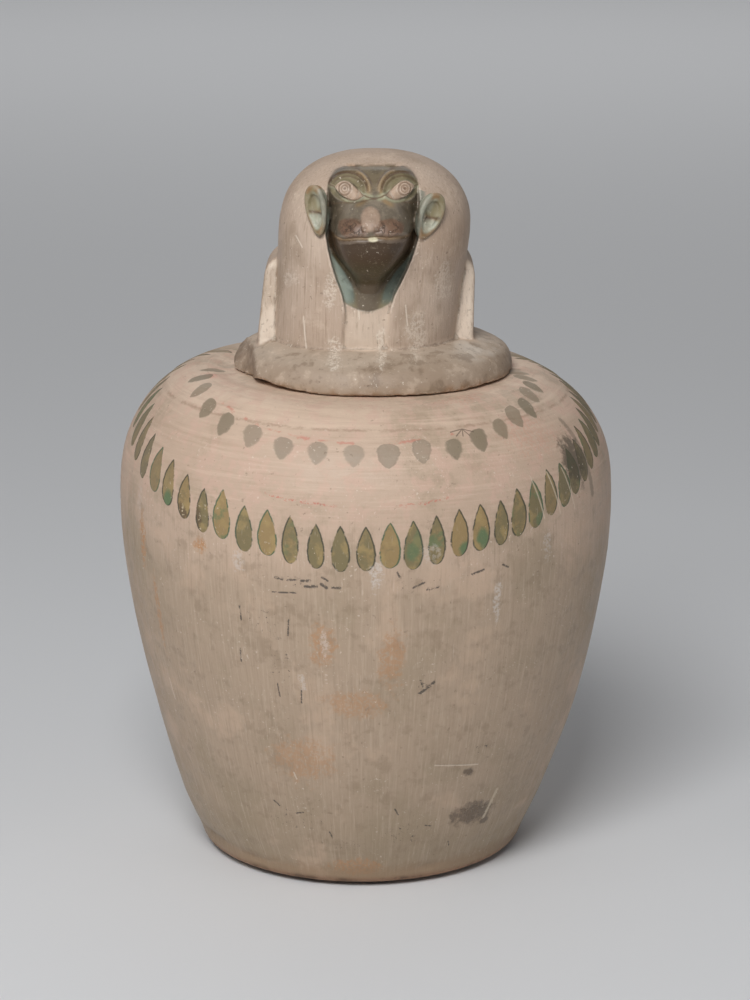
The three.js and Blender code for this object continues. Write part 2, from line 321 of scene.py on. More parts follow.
def wrap(field, low, high, cell):
    """Wraps the field's surface in evenly spaced quads."""
    axes = [np.arange(a, b + cell, cell) for a, b in zip(low, high)]
    x, y, z = (axis.reshape([-1 if i == n else 1 for i in range(3)]) for n, axis in enumerate(axes))
    value = np.ascontiguousarray(np.broadcast_to(field(x, y, z), [len(a) for a in axes]))
    inside = value < 0
    shape = [n - 1 for n in value.shape]
    count = np.zeros(shape, np.int8)
    for i in (0, 1):
        for j in (0, 1):
            for k in (0, 1):
                count += inside[i:i + shape[0], j:j + shape[1], k:k + shape[2]]
    cells = np.argwhere((count > 0) & (count < 8))
    number = np.full(shape, -1, np.int64)
    number[tuple(cells.T)] = np.arange(len(cells))
    place = np.zeros((len(cells), 3))
    hits = np.zeros(len(cells))
    for start, end in EDGES:
        a = value[tuple((cells + start).T)]
        b = value[tuple((cells + end).T)]
        cut = (a < 0) != (b < 0)
        t = np.where(cut, a / np.where(cut, a - b, 1.0), 0.0)[:, None]
        where = np.array(start) + t * (np.array(end) - np.array(start))
        place += np.where(cut[:, None], where, 0.0)
        hits += cut
    points = np.array(low) + (cells + place / hits[:, None]) * cell
    quads = []
    for axis in range(3):
        a = [slice(None)] * 3
        b = [slice(None)] * 3
        a[axis], b[axis] = slice(0, -1), slice(1, None)
        for other in range(3):
            if other != axis:
                a[other] = b[other] = slice(1, -1)
        here, there = inside[tuple(a)], inside[tuple(b)]
        for cut, turned in ((here & ~there, False), (~here & there, True)):
            at = np.argwhere(cut)
            first, second = [n for n in range(3) if n != axis]
            if axis == 1:
                first, second = second, first
            ring = []
            for df, ds in ((0, 0), (1, 0), (1, 1), (0, 1)):
                spot = at.copy()
                spot[:, first] += df
                spot[:, second] += ds
                ring.append(number[tuple(spot.T)])
            quads.append(np.stack(ring[::-1] if turned else ring, 1))
    return points, np.concatenate(quads)


def slope_of(field, points, step=0.05):
    """The field's value and gradient at each point."""
    value = field(points[:, 0], points[:, 1], points[:, 2])
    gradient = np.empty_like(points)
    for axis in range(3):
        moved = points.copy()
        moved[:, axis] += step
        gradient[:, axis] = (field(moved[:, 0], moved[:, 1], moved[:, 2]) - value) / step
    return value, gradient


def settle(field, points, rounds=3, most=0.8):
    """Moves points onto the field's surface and returns them with their normals."""
    points = points.copy()
    for _ in range(rounds):
        value, gradient = slope_of(field, points)
        size = np.maximum((gradient ** 2).sum(1), 0.05)
        shift = np.clip(value / size, -most / np.sqrt(size), most / np.sqrt(size))
        points -= gradient * shift[:, None]
    _, gradient = slope_of(field, points)
    return points, gradient / np.maximum(np.linalg.norm(gradient, axis=1), 1e-6)[:, None]


def relax(points, normals, pairs, rounds=4, pull=0.5):
    """Evens out the spacing of points along their surface."""
    points = points.copy()
    near = np.bincount(pairs.ravel(), minlength=len(points))
    for _ in range(rounds):
        mean = np.zeros_like(points)
        for axis in range(3):
            mean[:, axis] = (np.bincount(pairs[:, 0], points[pairs[:, 1], axis], len(points))
                             + np.bincount(pairs[:, 1], points[pairs[:, 0], axis], len(points)))
        step = mean / np.maximum(near, 1)[:, None] - points
        step -= normals * (step * normals).sum(1)[:, None]
        points += step * pull
    return points


def closer(points, quads, wanted, cuts):
    """Splits the quads whose corners are all wanted. Returns points, faces as index lists and pairs."""
    mesh = bmesh.new()
    verts = [mesh.verts.new(point) for point in points]
    for quad in quads:
        mesh.faces.new([verts[i] for i in quad])
    mesh.verts.index_update()
    edges = [edge for edge in mesh.edges if all(wanted[vert.index] for vert in edge.verts)]
    bmesh.ops.subdivide_edges(mesh, edges=edges, cuts=cuts, use_grid_fill=True)
    mesh.verts.index_update()
    faces = [[vert.index for vert in face.verts] for face in mesh.faces]
    pairs = np.array([[vert.index for vert in edge.verts] for edge in mesh.edges])
    finer = np.array([vert.co[:] for vert in mesh.verts])
    mesh.free()
    return finer, faces, pairs


def mesh_piece(name, points, faces):
    """A named, smooth-shaded object from millimetre points."""
    mesh = bpy.data.meshes.new(name)
    mesh.from_pydata((points * MM).tolist(), [], [list(face) for face in faces])
    mesh.update()
    mesh.shade_smooth()
    piece = bpy.data.objects.new(name, mesh)
    bpy.context.scene.collection.objects.link(piece)
    return piece


# ---------- carving and paint on the lid ----------

def tint(red, green, blue):
    """A colour given on the usual 0 to 255 scale, as the shader's linear values."""
    share = np.array([red, green, blue]) / 255.0
    return np.where(share < 0.04045, share / 12.92, ((share + 0.055) / 1.055) ** 2.4)


WIG_CLAY = tint(188, 166, 147)
DISC_CLAY = tint(166, 147, 128)
WORN_AND_LIT_CLAY = tint(222, 206, 188)
BROKEN_CLAY = tint(158, 138, 120)
FACE_BROWN = tint(92, 82, 66)
FOREHEAD = tint(128, 114, 90)
BRIDGE_OCHRE = tint(158, 132, 96)
MUZZLE_LIT_GREY = tint(138, 126, 110)
MUZZLE_BROWN = tint(108, 96, 80)
WHISKER_RED = tint(122, 93, 74)
NOSE_WORN_AND_LIT = tint(172, 146, 126)
JAW_BROWN_AND_SHADE = tint(76, 58, 40)
NECK_OLIVE = tint(112, 100, 72)
TURQUOISE = tint(142, 152, 140)
DEEP_TURQUOISE = tint(96, 108, 98)
EYE_TAN = tint(182, 156, 134)
LID_GREEN = tint(178, 178, 150)
BROW_BROWN = tint(92, 70, 50)
MOUTH_OCHRE = tint(168, 138, 102)
MOUTH_HIGHLIGHT = tint(208, 200, 168)
EAR_OLIVE = tint(138, 128, 98)
EAR_PALE = tint(186, 188, 170)
EAR_OCHRE = tint(140, 112, 78)
CHIP_OCHRE = tint(150, 112, 76)
NECK_EDGE = tint(136, 124, 94)
CHIN_SHADE = tint(76, 66, 42)
IRIS_LINE = tint(112, 84, 64)
WARM_CLAY = tint(168, 142, 118)
LIGHT_CLAY = tint(204, 184, 166)
CHEST_CLAY = tint(208, 188, 168)
DISC_TOP_LIGHT = tint(196, 180, 162)
DISC_HIGHLIGHT = tint(206, 194, 180)
CHIP_PALE = tint(190, 166, 140)
BREAK_SHADE = tint(118, 98, 80)
UNDER_CLAY = tint(176, 146, 120)

EYES = [(-1, 15.8), (1, 17.5)]              # side and how far out the pupil lies
EYE_Z = 404.6
MOUTH_Z = 380.6
NOSE_U, NOSE_Z = -1.3, 391.0
WHISKERS = [(-11.4, 386.0), (8.6, 386.0)]


def eye_places(u, z, eye):
    """A point measured from a pupil: outwards, up, and up from the slanting line between the corners."""
    side, pupil = eye
    out = side * u - pupil
    up = z - EYE_Z
    return out, up, up - 0.2 * out + 0.4


def almond(out, slant):
    """Above 0 inside the opening between the eyelids, in millimetres from its edge."""
    along = np.clip((out + 10.4) / 16.4, 0.0, 1.0)
    upper = 4.7 * np.sin(np.pi * along ** 1.25) ** 0.8
    lower = -4.3 * np.sin(np.pi * along ** 1.15) ** 0.9
    return np.minimum(np.minimum(upper - slant, slant - lower), 3.0)


def brow_arch(out, up):
    """1 along the arch over an eye and down to the bridge of the nose, less inside it."""
    return np.sqrt(((out + 1.5) / 10.8) ** 2 + (up / np.where(up > 0, 8.0, 7.0)) ** 2)


def mouth_curve(u):
    """The mouth line is highest in the middle of the muzzle and a little higher on one side."""
    return 0.9 - 2.2 * (u / 22.0) ** 2 + 0.03 * u + 0.2 * np.sin(u * 0.5)


def eye_relief(u, z, eye):
    """A sunken socket with an eyeball, eyelids, an incised iris and a brow over it."""
    out, up, slant = eye_places(u, z, eye)
    inside = almond(out, slant)
    arch = brow_arch(out, up)
    from_pupil = np.sqrt(out ** 2 + (up * 1.05) ** 2)
    relief = -1.5 * fade(arch, 1.0, 0.72)
    ball = np.clip(1.0 - (out / 7.2) ** 2 - (up / 6.0) ** 2, 0.0, 1.0)
    relief += (2.6 * ball ** 0.6 + 0.5) * fade(inside, -0.3, 0.5) * fade(arch, 1.2, 1.0)
    relief += 0.9 * hump(inside, -0.6, 0.65) * fade(arch, 1.15, 0.95)
    relief -= 0.35 * hump(from_pupil, 3.2, 0.42) + 0.3 * hump(from_pupil, 1.7, 0.35)
    relief -= 0.5 * hump(from_pupil, 0, 0.7)
    over = fade(up, -2.0, 3.0)
    return relief + 1.3 * hump(arch, 1.16, 0.10) * over - 0.35 * hump(arch, 1.02, 0.035) * over


def muzzle_relief(u, z):
    """The nose with its nostrils, the whisker pads, the mouth and the crease under the bridge."""
    nose = np.clip(1.0 - ((u - NOSE_U) / 6.4) ** 2 - ((z - NOSE_Z) / 7.2) ** 2, 0.0, 1.0)
    relief = 1.3 * nose ** 0.7
    for side in (-1, 1):
        spot = np.sqrt((u - NOSE_U - side * 3.3) ** 2 + ((z - 386.0) * 1.2) ** 2)
        relief -= 1.1 * hump(spot, 0.0, 1.1)
    for centre_u, centre_z in WHISKERS:
        relief += 0.8 * np.clip(1.0 - ((u - centre_u) / 8.0) ** 2 - ((z - centre_z) / 4.8) ** 2, 0.0, 1.0)
    wavy = MOUTH_Z + mouth_curve(u)
    width = fade(np.abs(u), 23.5, 21.0)
    relief -= 1.2 * hump(z, wavy, 0.75) * width
    relief += 0.5 * hump(z, wavy - 2.4, 1.3) * width + 0.4 * hump(z, wavy + 2.2, 1.2) * width
    return relief - 0.5 * hump(z, 402.4, 1.0) * fade(np.abs(u), 8.0, 4.0)


def face_relief(u, y, z):
    """How far the carving on the front of the face stands out, in millimetres."""
    relief = np.zeros(len(u))
    for eye in EYES:
        relief += eye_relief(u, z, eye)
    on_muzzle = fade(stacked(u, y, z, MUZZLE, 3.4), 2.5, 0.6)
    return relief + muzzle_relief(u, z) * on_muzzle


class Coat:
    """Colours laid one over another on the points of a mesh."""

    def __init__(self, count, colour):
        self.colour = np.tile(colour, (count, 1))
        self.paint = np.zeros(count)
        self.gloss = np.zeros(count)

    def lay(self, colour, share, paint=None, gloss=None):
        share = np.clip(share, 0.0, 1.0)
        self.colour += (colour - self.colour) * share[:, None]
        if paint is not None:
            self.paint += (paint - self.paint) * share
        if gloss is not None:
            self.gloss += (gloss - self.gloss) * share


def paint_valley(coat, u, z, painted, mass, blotch):
    """The turquoise hollow between the jaw and the wig."""
    valley = painted * fade(mass, 0.6, 2.2) * fade(z, 336, 342) * fade(z, 397, 380)
    coat.lay(DEEP_TURQUOISE, valley * 0.9, 1.0, 0.25)
    rim = valley * fade(opening_field(u, z), -6.5, -1.5)
    coat.lay(TURQUOISE, np.maximum(rim, valley * fade(blotch, 0.1, 0.4)) * fade(u, 16, -2) * 0.9)
    coat.lay(TURQUOISE, rim * fade(blotch, -0.2, 0.2) * 0.6)


def paint_muzzle(coat, u, z, painted, muzzle, wobble, blotch):
    """The muzzle with painted light on its upper part, the forehead above it, the whisker pads and the rubbed
    patch on the nose, partly a painted highlight.
    """
    coat.lay(MUZZLE_BROWN, muzzle, 1.0, 0.8)
    # Painted light: the upper muzzle, which faces up, is laid paler grey.
    lit = muzzle * fade(z, 384, 394) * fade(np.abs(u), 20, 12)
    coat.lay(MUZZLE_LIT_GREY, lit * (0.75 + 0.3 * blotch))
    forehead = painted * fade(z, 402, 408) * fade(np.abs(u), 21, 13)
    coat.lay(FOREHEAD, forehead * (0.7 + 0.4 * blotch), 1.0, 0.6)
    for centre_u, centre_z in WHISKERS:
        ring = np.sqrt(((u - centre_u) / 9.2) ** 2 + ((z - centre_z) / 5.6) ** 2) + 0.15 * wobble
        coat.lay(WHISKER_RED, muzzle * fade(ring, 1.05, 0.85) * 0.9, 1.0, 0.5)
    # Rubbed paint on the nose, laid pale pink, partly a painted highlight on its lit top.
    rubbed = np.sqrt(((u - NOSE_U) / 6.2) ** 2 + ((z - NOSE_Z) / 6.6) ** 2) + 0.22 * wobble
    coat.lay(NOSE_WORN_AND_LIT, muzzle * fade(rubbed, 1.05, 0.75) * 0.85, 0.3, 0.1)


def paint_mouth(coat, u, z, painted, mass, muzzle, blotch):
    """The dark jaw, partly painted shade under the muzzle, the mouth line and a painted highlight in the
    middle of it.
    """
    # Dark brown paint on the jaw, partly painted shade where the jaw faces down under the muzzle.
    jaw = painted * fade(z, MOUTH_Z + 0.2, MOUTH_Z - 0.6) * fade(mass, 2.6, 1.0) * fade(z, 349, 353)
    coat.lay(JAW_BROWN_AND_SHADE, jaw, 1.0, 0.7)
    # Painted shade: the jaw darkens further towards the underside of the chin.
    coat.lay(CHIN_SHADE, jaw * fade(z, 370, 360))
    line = muzzle * hump(z, MOUTH_Z + mouth_curve(u), 0.62) * fade(np.abs(u), 22.5, 21.0)
    coat.lay(MOUTH_OCHRE, line * (0.95 + 0.5 * blotch), 1.0, 0.4)
    # Painted highlight: a pale spot in the middle of the mouth line.
    spot = np.sqrt(((u - 0.3) / 3.0) ** 2 + ((z - MOUTH_Z) / 1.5) ** 2)
    coat.lay(MOUTH_HIGHLIGHT, muzzle * fade(spot, 1.1, 0.7))


def paint_face(coat, u, y, z, points):
    """The painted face inside the opening, from the brow to the throat."""
    wobble = rough(points, 5.0, 11, 2) * 0.7
    blotch = rough(points, 9.0, 12, 3)
    front = (y < -26) & (z > 326) & (z < 417)
    opening = fade(opening_field(u, z) + wobble * 0.5, 0.5, -0.5) * front
    neckline = 334.4 + 0.028 * u * u + wobble
    painted = opening * fade(z, neckline - 0.7, neckline + 0.7)
    coat.lay(FACE_BROWN, painted, 1.0, 0.75)
    coat.lay(NECK_OLIVE, painted * fade(z, 356, 350), 1.0, 0.5)
    coat.lay(NECK_EDGE, painted * fade(z, neckline + 5.0, neckline + 0.5) * 0.8)
    mass = face_field(u, y, z)
    muzzle = painted * fade(stacked(u, y, z, MUZZLE, 3.4), 2.4, 0.8)
    paint_valley(coat, u, z, painted, mass, blotch)
    paint_muzzle(coat, u, z, painted, muzzle, wobble, blotch)
    paint_mouth(coat, u, z, painted, mass, muzzle, blotch)
    for eye in EYES:
        paint_eye(coat, u, z, eye, painted, wobble)


def paint_eye(coat, u, z, eye, painted, wobble):
    """Olive socket, dark lines round the brow and eyelids, tan eyeball and the iris rings."""
    out, up, slant = eye_places(u, z, eye)
    inside = almond(out, slant)
    arch = brow_arch(out, up)
    near = painted * fade(arch, 1.5, 1.3)
    inner = fade(out, -4.0, -8.0)
    coat.lay(BRIDGE_OCHRE, near * hump(arch, 1.10, 0.14) * inner * 0.9)
    coat.lay(EAR_OLIVE, near * fade(arch, 1.0, 0.9) * 0.8)
    coat.lay(BROW_BROWN, near * hump(arch, 1.02, 0.06) * fade(up, -1.0, 2.0) * 0.95)
    coat.lay(BROW_BROWN, near * hump(arch, 1.28, 0.07) * fade(up, 1.0, 4.0) * 0.8)
    coat.lay(BROW_BROWN, near * hump(arch, 0.86, 0.04) * fade(up, 1.0, 3.5) * 0.7)
    coat.lay(LID_GREEN, near * hump(inside, -0.9, 0.8) * fade(up, 2.5, -1.0) * 0.8)
    coat.lay(EYE_TAN, painted * fade(inside, -0.4, 0.4), 0.5, 0.25)
    coat.lay(BROW_BROWN, painted * hump(inside, 0.0, 0.4) * 0.75)
    from_pupil = np.sqrt(out ** 2 + (up * 1.05) ** 2) + 0.25 * wobble
    rings = hump(from_pupil, 3.2, 0.42) * 0.75 + hump(from_pupil, 1.7, 0.35) * 0.5
    rings += hump(from_pupil, 0.0, 0.8)
    coat.lay(IRIS_LINE, painted * fade(inside, -0.2, 0.4) * rings)


def paint_ears(coat, u, y, z, points):
    """Ochre rims, olive bowls with pale lower hollows, and turquoise towards the face."""
    wobble = rough(points, 4.0, 21, 2)
    for ear in EARS:
        a, b, c = ear_places(u, y, z, ear)
        ring = ear_ring(a, b, ear)
        on_ear = fade(ring, 1.12, 1.0) * (np.abs(c) < 8) * (c > -2.5)
        coat.lay(EAR_OCHRE, on_ear, 1.0, 0.4)
        coat.lay(EAR_OLIVE, on_ear * fade(wobble, -0.1, 0.4), 1.0, 0.4)
        inside = fade(ring, 0.86, 0.7)
        coat.lay(EAR_OLIVE, on_ear * inside * fade(b, -2.0, 1.0), 1.0, 0.3)
        coat.lay(EAR_PALE, on_ear * inside * fade(b, -0.5, -2.5) * (0.75 + 0.4 * wobble))
        coat.lay(EAR_PALE, on_ear * inside * fade(a, 1.5, -1.5) * fade(b, -1.0, 3.0) * 0.5)
        coat.lay(BROW_BROWN, on_ear * inside * hump(b, -1.2 + 0.3 * a, 0.8) * 0.8)
        # A brown ring round each ear where it meets the wig: a painted outline, partly painted shade under
        # the ear's edge.
        around = fade(np.abs(ring - 1.14), 0.10, 0.02) * (c > -4.0) * (c < 3.0)
        coat.lay(BROW_BROWN, around * 0.55, 1.0, 0.2)
        toward_face = fade(a, -3.0, -5.5) * fade(ring, 1.5, 1.15) * (np.abs(b) < 12) * (np.abs(c) < 7)
        coat.lay(TURQUOISE, toward_face * 0.7, 1.0, 0.3)


def paint_wig(coat, u, y, z, points, normals):
    """Warm and light clay, the pale chest and the pale fronts of the wig's wide back, which are partly wear
    and partly a painted highlight on the faces turned to the light.
    """
    broad = rough(points, 34.0, 31, 2)
    fine = rough(points, 8.0, 32, 2)
    coat.lay(WARM_CLAY, fade(broad, 0.0, 0.6) * 0.55)
    coat.lay(LIGHT_CLAY, fade(-broad, 0.1, 0.6) * 0.5)
    chest = (y < -30) * fade(np.abs(u), 13.5, 12.5) * fade(z, 337, 330) * (z > 305)
    coat.lay(CHEST_CLAY, chest * 0.75)
    # Pale wear with a painted highlight: the front-facing faces of the wig's wide back are laid paler.
    slab = fade(np.abs(slab_field(u, y, z)), 1.0, 0.4) * fade(-normals[:, 1], 0.5, 0.8) * (z > 308)
    coat.lay(WORN_AND_LIT_CLAY, slab * (0.8 + 0.3 * fine))


def paint_disc(coat, x, u, y, z, points, normals):
    """The greyer disc with painted light on its upper part and a painted highlight on its right, its chipped
    lower edge, the broken rim and the underside.
    """
    radius = np.sqrt(x * x + y * y)
    turn = np.arctan2(y, x)
    fine = rough(points, 8.0, 32, 2)
    disc = fade(z, 313.5, 311.0) * fade(head_distance(u, y, z), 0.5, 2.5)
    coat.lay(DISC_CLAY, disc * 0.85)
    # Painted light: the upper part of the disc is laid paler, as if lit from above.
    coat.lay(DISC_TOP_LIGHT, disc * fade(z, 303, 309) * 0.45)
    # Painted highlight on the right of the disc's top, broken up by noise.
    right_highlight = fade(z, 302, 308) * hump(turn, -0.45, 0.3) * fade(fine, -0.4, 0.2)
    coat.lay(DISC_HIGHLIGHT, disc * right_highlight * 0.9)
    low = fade(z, 297, 292.5) * (radius > 70)
    coat.lay(CHIP_OCHRE, low * fade(fine, 0.0, 0.35) * 0.7)
    coat.lay(CHIP_PALE, low * fade(-fine, 0.0, 0.4) * 0.6)
    broken = fade(np.abs(break_field(x, y, z)), 1.2, 0.5) * (radius > 60)
    coat.lay(BROKEN_CLAY, broken)
    coat.lay(BREAK_SHADE, broken * fade(fine, 0.0, 0.5) * 0.7)
    coat.lay(UNDER_CLAY, fade(normals[:, 2], -0.7, -0.9) * 0.8)


def paint_lid(points, normals):
    """The lid's colours: the clay, the wear, the painted face, and painted light and shade laid in with them.
    """
    x, y, z = (points - (LID_X, 0, 0)).T
    u = x - lean(z)
    coat = Coat(len(points), WIG_CLAY)
    paint_wig(coat, u, y, z, points, normals)
    paint_disc(coat, x, u, y, z, points, normals)
    paint_ears(coat, u, y, z, points)
    paint_face(coat, u, y, z, points)
    return coat


def head_distance(u, y, z):
    """Distance to the wig or its wide back, whichever is nearer."""
    return np.minimum(wig_field(u, y, z), slab_field(u, y, z))


def lid_relief(points, normals):
    """Small form too fine for the field: the carved face, hand marks, the rough break and chips."""
    x, y, z = (points - (LID_X, 0, 0)).T
    u = x - lean(z)
    radius = np.sqrt(x * x + y * y)
    facing = fade(-normals[:, 1], 0.15, 0.5)
    on_face = facing * fade(opening_field(u, z), 0.0, -1.2) * (y < -30) * (z > 330)
    relief = face_relief(u, y, z) * on_face
    calm = 1.0 - 0.8 * on_face
    relief += (0.35 * rough(points, 26.0, 41, 2) + 0.10 * rough(points, 5.0, 42, 2)) * calm
    broken = fade(np.abs(break_field(x, y, z)), 2.0, 0.8) * (radius > 60)
    relief += broken * (1.1 * rough(points, 9.0, 43, 3) + 0.5 * rough(points, 3.5, 44, 2))
    rim = fade(z, 299, 293) * fade(radius, 74, 79)
    relief -= rim * 1.1 * np.clip(rough(points, 7.0, 45, 2), 0.0, 1.0)
    top = fade(z, 300, 306) * fade(head_distance(u, y, z), 1.0, 4.0) * fade(z, 316, 312)
    relief += top * 0.35 * rough(points, 10.0, 46, 2)
    return relief


def curvature(points, normals, pairs, rounds):
    """How sharply the surface turns at each point: above 0 on edges, below 0 in creases."""
    near = np.maximum(np.bincount(pairs.ravel(), minlength=len(points)), 1)
    lengths = np.linalg.norm(points[pairs[:, 0]] - points[pairs[:, 1]], axis=1)
    spread = (np.bincount(pairs[:, 0], lengths ** 2, len(points))
              + np.bincount(pairs[:, 1], lengths ** 2, len(points))) / near
    turn = np.zeros(len(points))
    for axis in range(3):
        mean = (np.bincount(pairs[:, 0], points[pairs[:, 1], axis], len(points))
                + np.bincount(pairs[:, 1], points[pairs[:, 0], axis], len(points))) / near
        turn -= (mean - points[:, axis]) * normals[:, axis]
    turn /= np.maximum(spread, 0.01)
    for _ in range(rounds):
        turn = 0.5 * turn + 0.5 * (np.bincount(pairs[:, 0], turn[pairs[:, 1]], len(points))
                                   + np.bincount(pairs[:, 1], turn[pairs[:, 0]], len(points))) / near
    return turn


def add_value(piece, name, values):
    """Stores one number for each point of a piece, for its material to read."""
    layer = piece.data.attributes.new(name, "FLOAT", "POINT")
    layer.data.foreach_set("value", np.asarray(values, np.float32))


def add_colour(piece, name, colours):
    """Stores one colour for each point of a piece, for its material to read."""
    layer = piece.data.color_attributes.new(name, "FLOAT_COLOR", "POINT")
    full = np.concatenate([colours, np.ones((len(colours), 1))], 1)
    layer.data.foreach_set("color", full.astype(np.float32).ravel())


def point_normals(piece):
    normals = np.empty(len(piece.data.vertices) * 3, np.float32)
    piece.data.vertex_normals.foreach_get("vector", normals)
    return normals.reshape(-1, 3).astype(float)


def make_lid():
    """Wraps the lid field in a mesh, finer over the face, then paints and carves it."""
    cell = 1.8
    points, quads = wrap(lid_field, lid_low - 4.0, lid_high + 4.0, cell)
    x, y, z = (points - (LID_X, 0, 0)).T
    face_area = (y < -30) & (np.abs(x) < 46) & (z > 334) & (z < 418)
    points, faces, pairs = closer(points, quads, face_area, 2)
    points, normals = settle(lid_field, points)
    points = relax(points, normals, pairs)
    points, normals = settle(lid_field, points)
    coat = paint_lid(points, normals)
    points = points + normals * lid_relief(points, normals)[:, None]
    points = np.clip(points, lid_low, lid_high)
    piece = mesh_piece("baboon_lid", points, faces)
    turn = curvature(points, point_normals(piece), pairs, 2)
    add_colour(piece, "colour", coat.colour)
    add_value(piece, "paint", coat.paint)
    add_value(piece, "gloss", coat.gloss)
    add_value(piece, "edge", fade(turn, 0.03, 0.16))
    add_value(piece, "crease", fade(-turn, 0.02, 0.14))
    return piece


# ---------- the jar ----------

JAR_R = jar_high[1]
BELLY_Z = 210.0
LIP_Z = jar_high[2]
JAR_WALL = 10.5
JAR_FLOOR = 15.0
SEGMENTS = 384
FOOT_SHIFT = 2.9                           # the jar leans a little, so its foot sits off the axis
SEAT_DROP = 2.2                            # from the lip down to the edge of the shoulder
FOOT_R, FOOT_ROUND = 89.0, 9.0
TAPER, TAPER_POWER = 42.3, 1.7


def body_radius(z):
    """The radius of the wall below the belly."""
    return JAR_R - TAPER * np.clip((BELLY_Z - z) / 190.0, 0.0, None) ** TAPER_POWER


def jar_outline():
    """Rows down the outside: radius, height and the distance from the edge of the lip."""
    shoulder_z = np.linspace(LIP_Z - SEAT_DROP, BELLY_Z, 120)
    shoulder_r = JAR_R * (1.0 - ((shoulder_z - BELLY_Z) / 92.0) ** 3) ** (1 / 3)
    wall_z = np.linspace(BELLY_Z, FOOT_ROUND, 200)[1:]
    turn = np.linspace(math.pi / 2, 0.0, 14)[1:]
    foot_r = FOOT_R + (body_radius(FOOT_ROUND) - FOOT_R) * np.sin(turn)
    foot_z = FOOT_ROUND * (1.0 - np.cos(turn))
    radius = np.concatenate([[62.0, 72.0], shoulder_r, body_radius(wall_z), foot_r])
    height = np.concatenate([[LIP_Z, LIP_Z], shoulder_z, wall_z, foot_z])
    along = np.concatenate([[0.0], np.cumsum(np.hypot(np.diff(radius), np.diff(height)))]) - 10.0
    steps = np.linspace(along[0], along[-1], 700)
    radius, height = np.interp(steps, along, radius), np.interp(steps, along, height)
    for _ in range(30):
        radius[1:-1] = (radius[:-2] + 2 * radius[1:-1] + radius[2:]) / 4
        height[1:-1] = (height[:-2] + 2 * height[1:-1] + height[2:]) / 4
    rows = np.linspace(steps[0], steps[-1], 150)
    return np.interp(rows, steps, radius), np.interp(rows, steps, height), rows


def jar_lining(radius, height):
    """The inside surface, one wall's thickness in, from the mouth down to the floor."""
    along_r, along_z = np.gradient(radius), np.gradient(height)
    length = np.hypot(along_r, along_z)
    inner_r = radius + JAR_WALL * along_z / length
    inner_z = height - JAR_WALL * along_r / length
    keep = (inner_r > 62.0) & (inner_z > JAR_FLOOR + 16.0) & (inner_z < LIP_Z - JAR_WALL - 1.0)
    inner_r, inner_z = inner_r[keep][::4], inner_z[keep][::4]
    corner = body_radius(JAR_FLOOR + 8.0) - JAR_WALL
    turn = np.linspace(0.0, math.pi / 2, 5)
    corner_r = corner - 8.0 + 8.0 * np.cos(turn)
    corner_z = JAR_FLOOR + 8.0 - 8.0 * np.sin(turn)
    floor_r = np.array([70.0, 45.0, 20.0])
    return (np.concatenate([[61.0, 60.0, 60.0, 60.6], inner_r, corner_r, floor_r]),
            np.concatenate([[LIP_Z - 0.3, LIP_Z - 1.5, LIP_Z - JAR_WALL + 1, LIP_Z - JAR_WALL - 0.5], inner_z,
                            corner_z, np.full(3, JAR_FLOOR)]))


def jar_rows():
    """Every ring of the jar, from the middle of its floor out over the lip to the middle of its foot."""
    radius, height, along = jar_outline()
    lining_r, lining_z = jar_lining(radius, height)
    lining_s = -12.0 - np.arange(len(lining_r)) * 4.0
    under_r = np.array([86.0, 74.0, 58.0, 40.0, 22.0, 8.0])
    under_s = along[-1] + FOOT_R - under_r
    rows_r = np.concatenate([lining_r[::-1], radius, under_r])
    rows_z = np.concatenate([lining_z[::-1], height, np.zeros(6)])
    rows_s = np.concatenate([lining_s[::-1], along, under_s])
    return rows_r, rows_z, rows_s


def jar_surface(x, y, z, along):
    """Outward shift, sideways shift and lift that make the turned shape hand-made, in millimetres."""
    turn = np.arctan2(x, -y)
    right, left = np.clip(np.sin(turn), 0, 1) ** 1.5, np.clip(-np.sin(turn), 0, 1) ** 1.5
    outside = fade(along, -12.0, -6.0)
    lift = 2.4 * fade(along, 8, 22) * fade(along, 85, 50) * left
    lift -= 1.8 * fade(along, 20, 40) * fade(along, 110, 70) * right
    ridge = 0.7 * fade(along, 49.0, 46.5) * fade(along, 10.0, 22.0)
    out = -1.8 * fade(z, 40.0, 5.0) * outside
    sideways = -FOOT_SHIFT * fade(z, 100.0, 15.0)
    return turn, out, sideways, (lift + ridge) * outside


JAR_DENTS = [  # degrees round, millimetres down, half-sizes in degrees and millimetres, depth
    (-62, 331, 9, 4, 2.2), (-40, 334, 6, 3, 1.2), (24, 334, 5, 3, 1.0), (-36, 199, 1.6, 4, 0.5),
    (-40, 125, 2.5, 4, 0.5), (58, 236, 3, 5, 0.5)]


def jar_marks(points, turn, along):
    """Dents, finger marks and chips on the outside, in millimetres out of the surface."""
    degrees = np.degrees(turn)
    outside = fade(along, -4.0, 8.0)
    marks = 0.55 * rough(points, 70.0, 61, 2) + 0.12 * rough(points, 14.0, 62, 2)
    rings = np.stack([points[:, 0] * 0.25, points[:, 1] * 0.25, points[:, 2]], 1)
    marks += 0.12 * rough(rings, 9.0, 63, 2)
    for place, down, wide, tall, deep in JAR_DENTS:
        dip = np.exp(-((degrees - place) / wide) ** 2 - ((along - down) / tall) ** 2)
        marks -= deep * dip * (1.0 + 0.5 * rough(points, 5.0, 64, 2))
    return marks * outside * fade(along, 345.0, 333.0)


def turned_faces(rows, first, last):
    """Quads between rings of points, closed at both ends by a fan round a middle point."""
    columns = np.arange(SEGMENTS)
    after = (columns + 1) % SEGMENTS
    faces = []
    for row in range(rows - 1):
        low, high = row * SEGMENTS, (row + 1) * SEGMENTS
        faces += np.stack([low + columns, high + columns, high + after, low + after], 1).tolist()
    end = (rows - 1) * SEGMENTS
    faces += np.stack([np.full(SEGMENTS, first), columns, after], 1).tolist()
    faces += np.stack([np.full(SEGMENTS, last), end + after, end + columns], 1).tolist()
    return faces


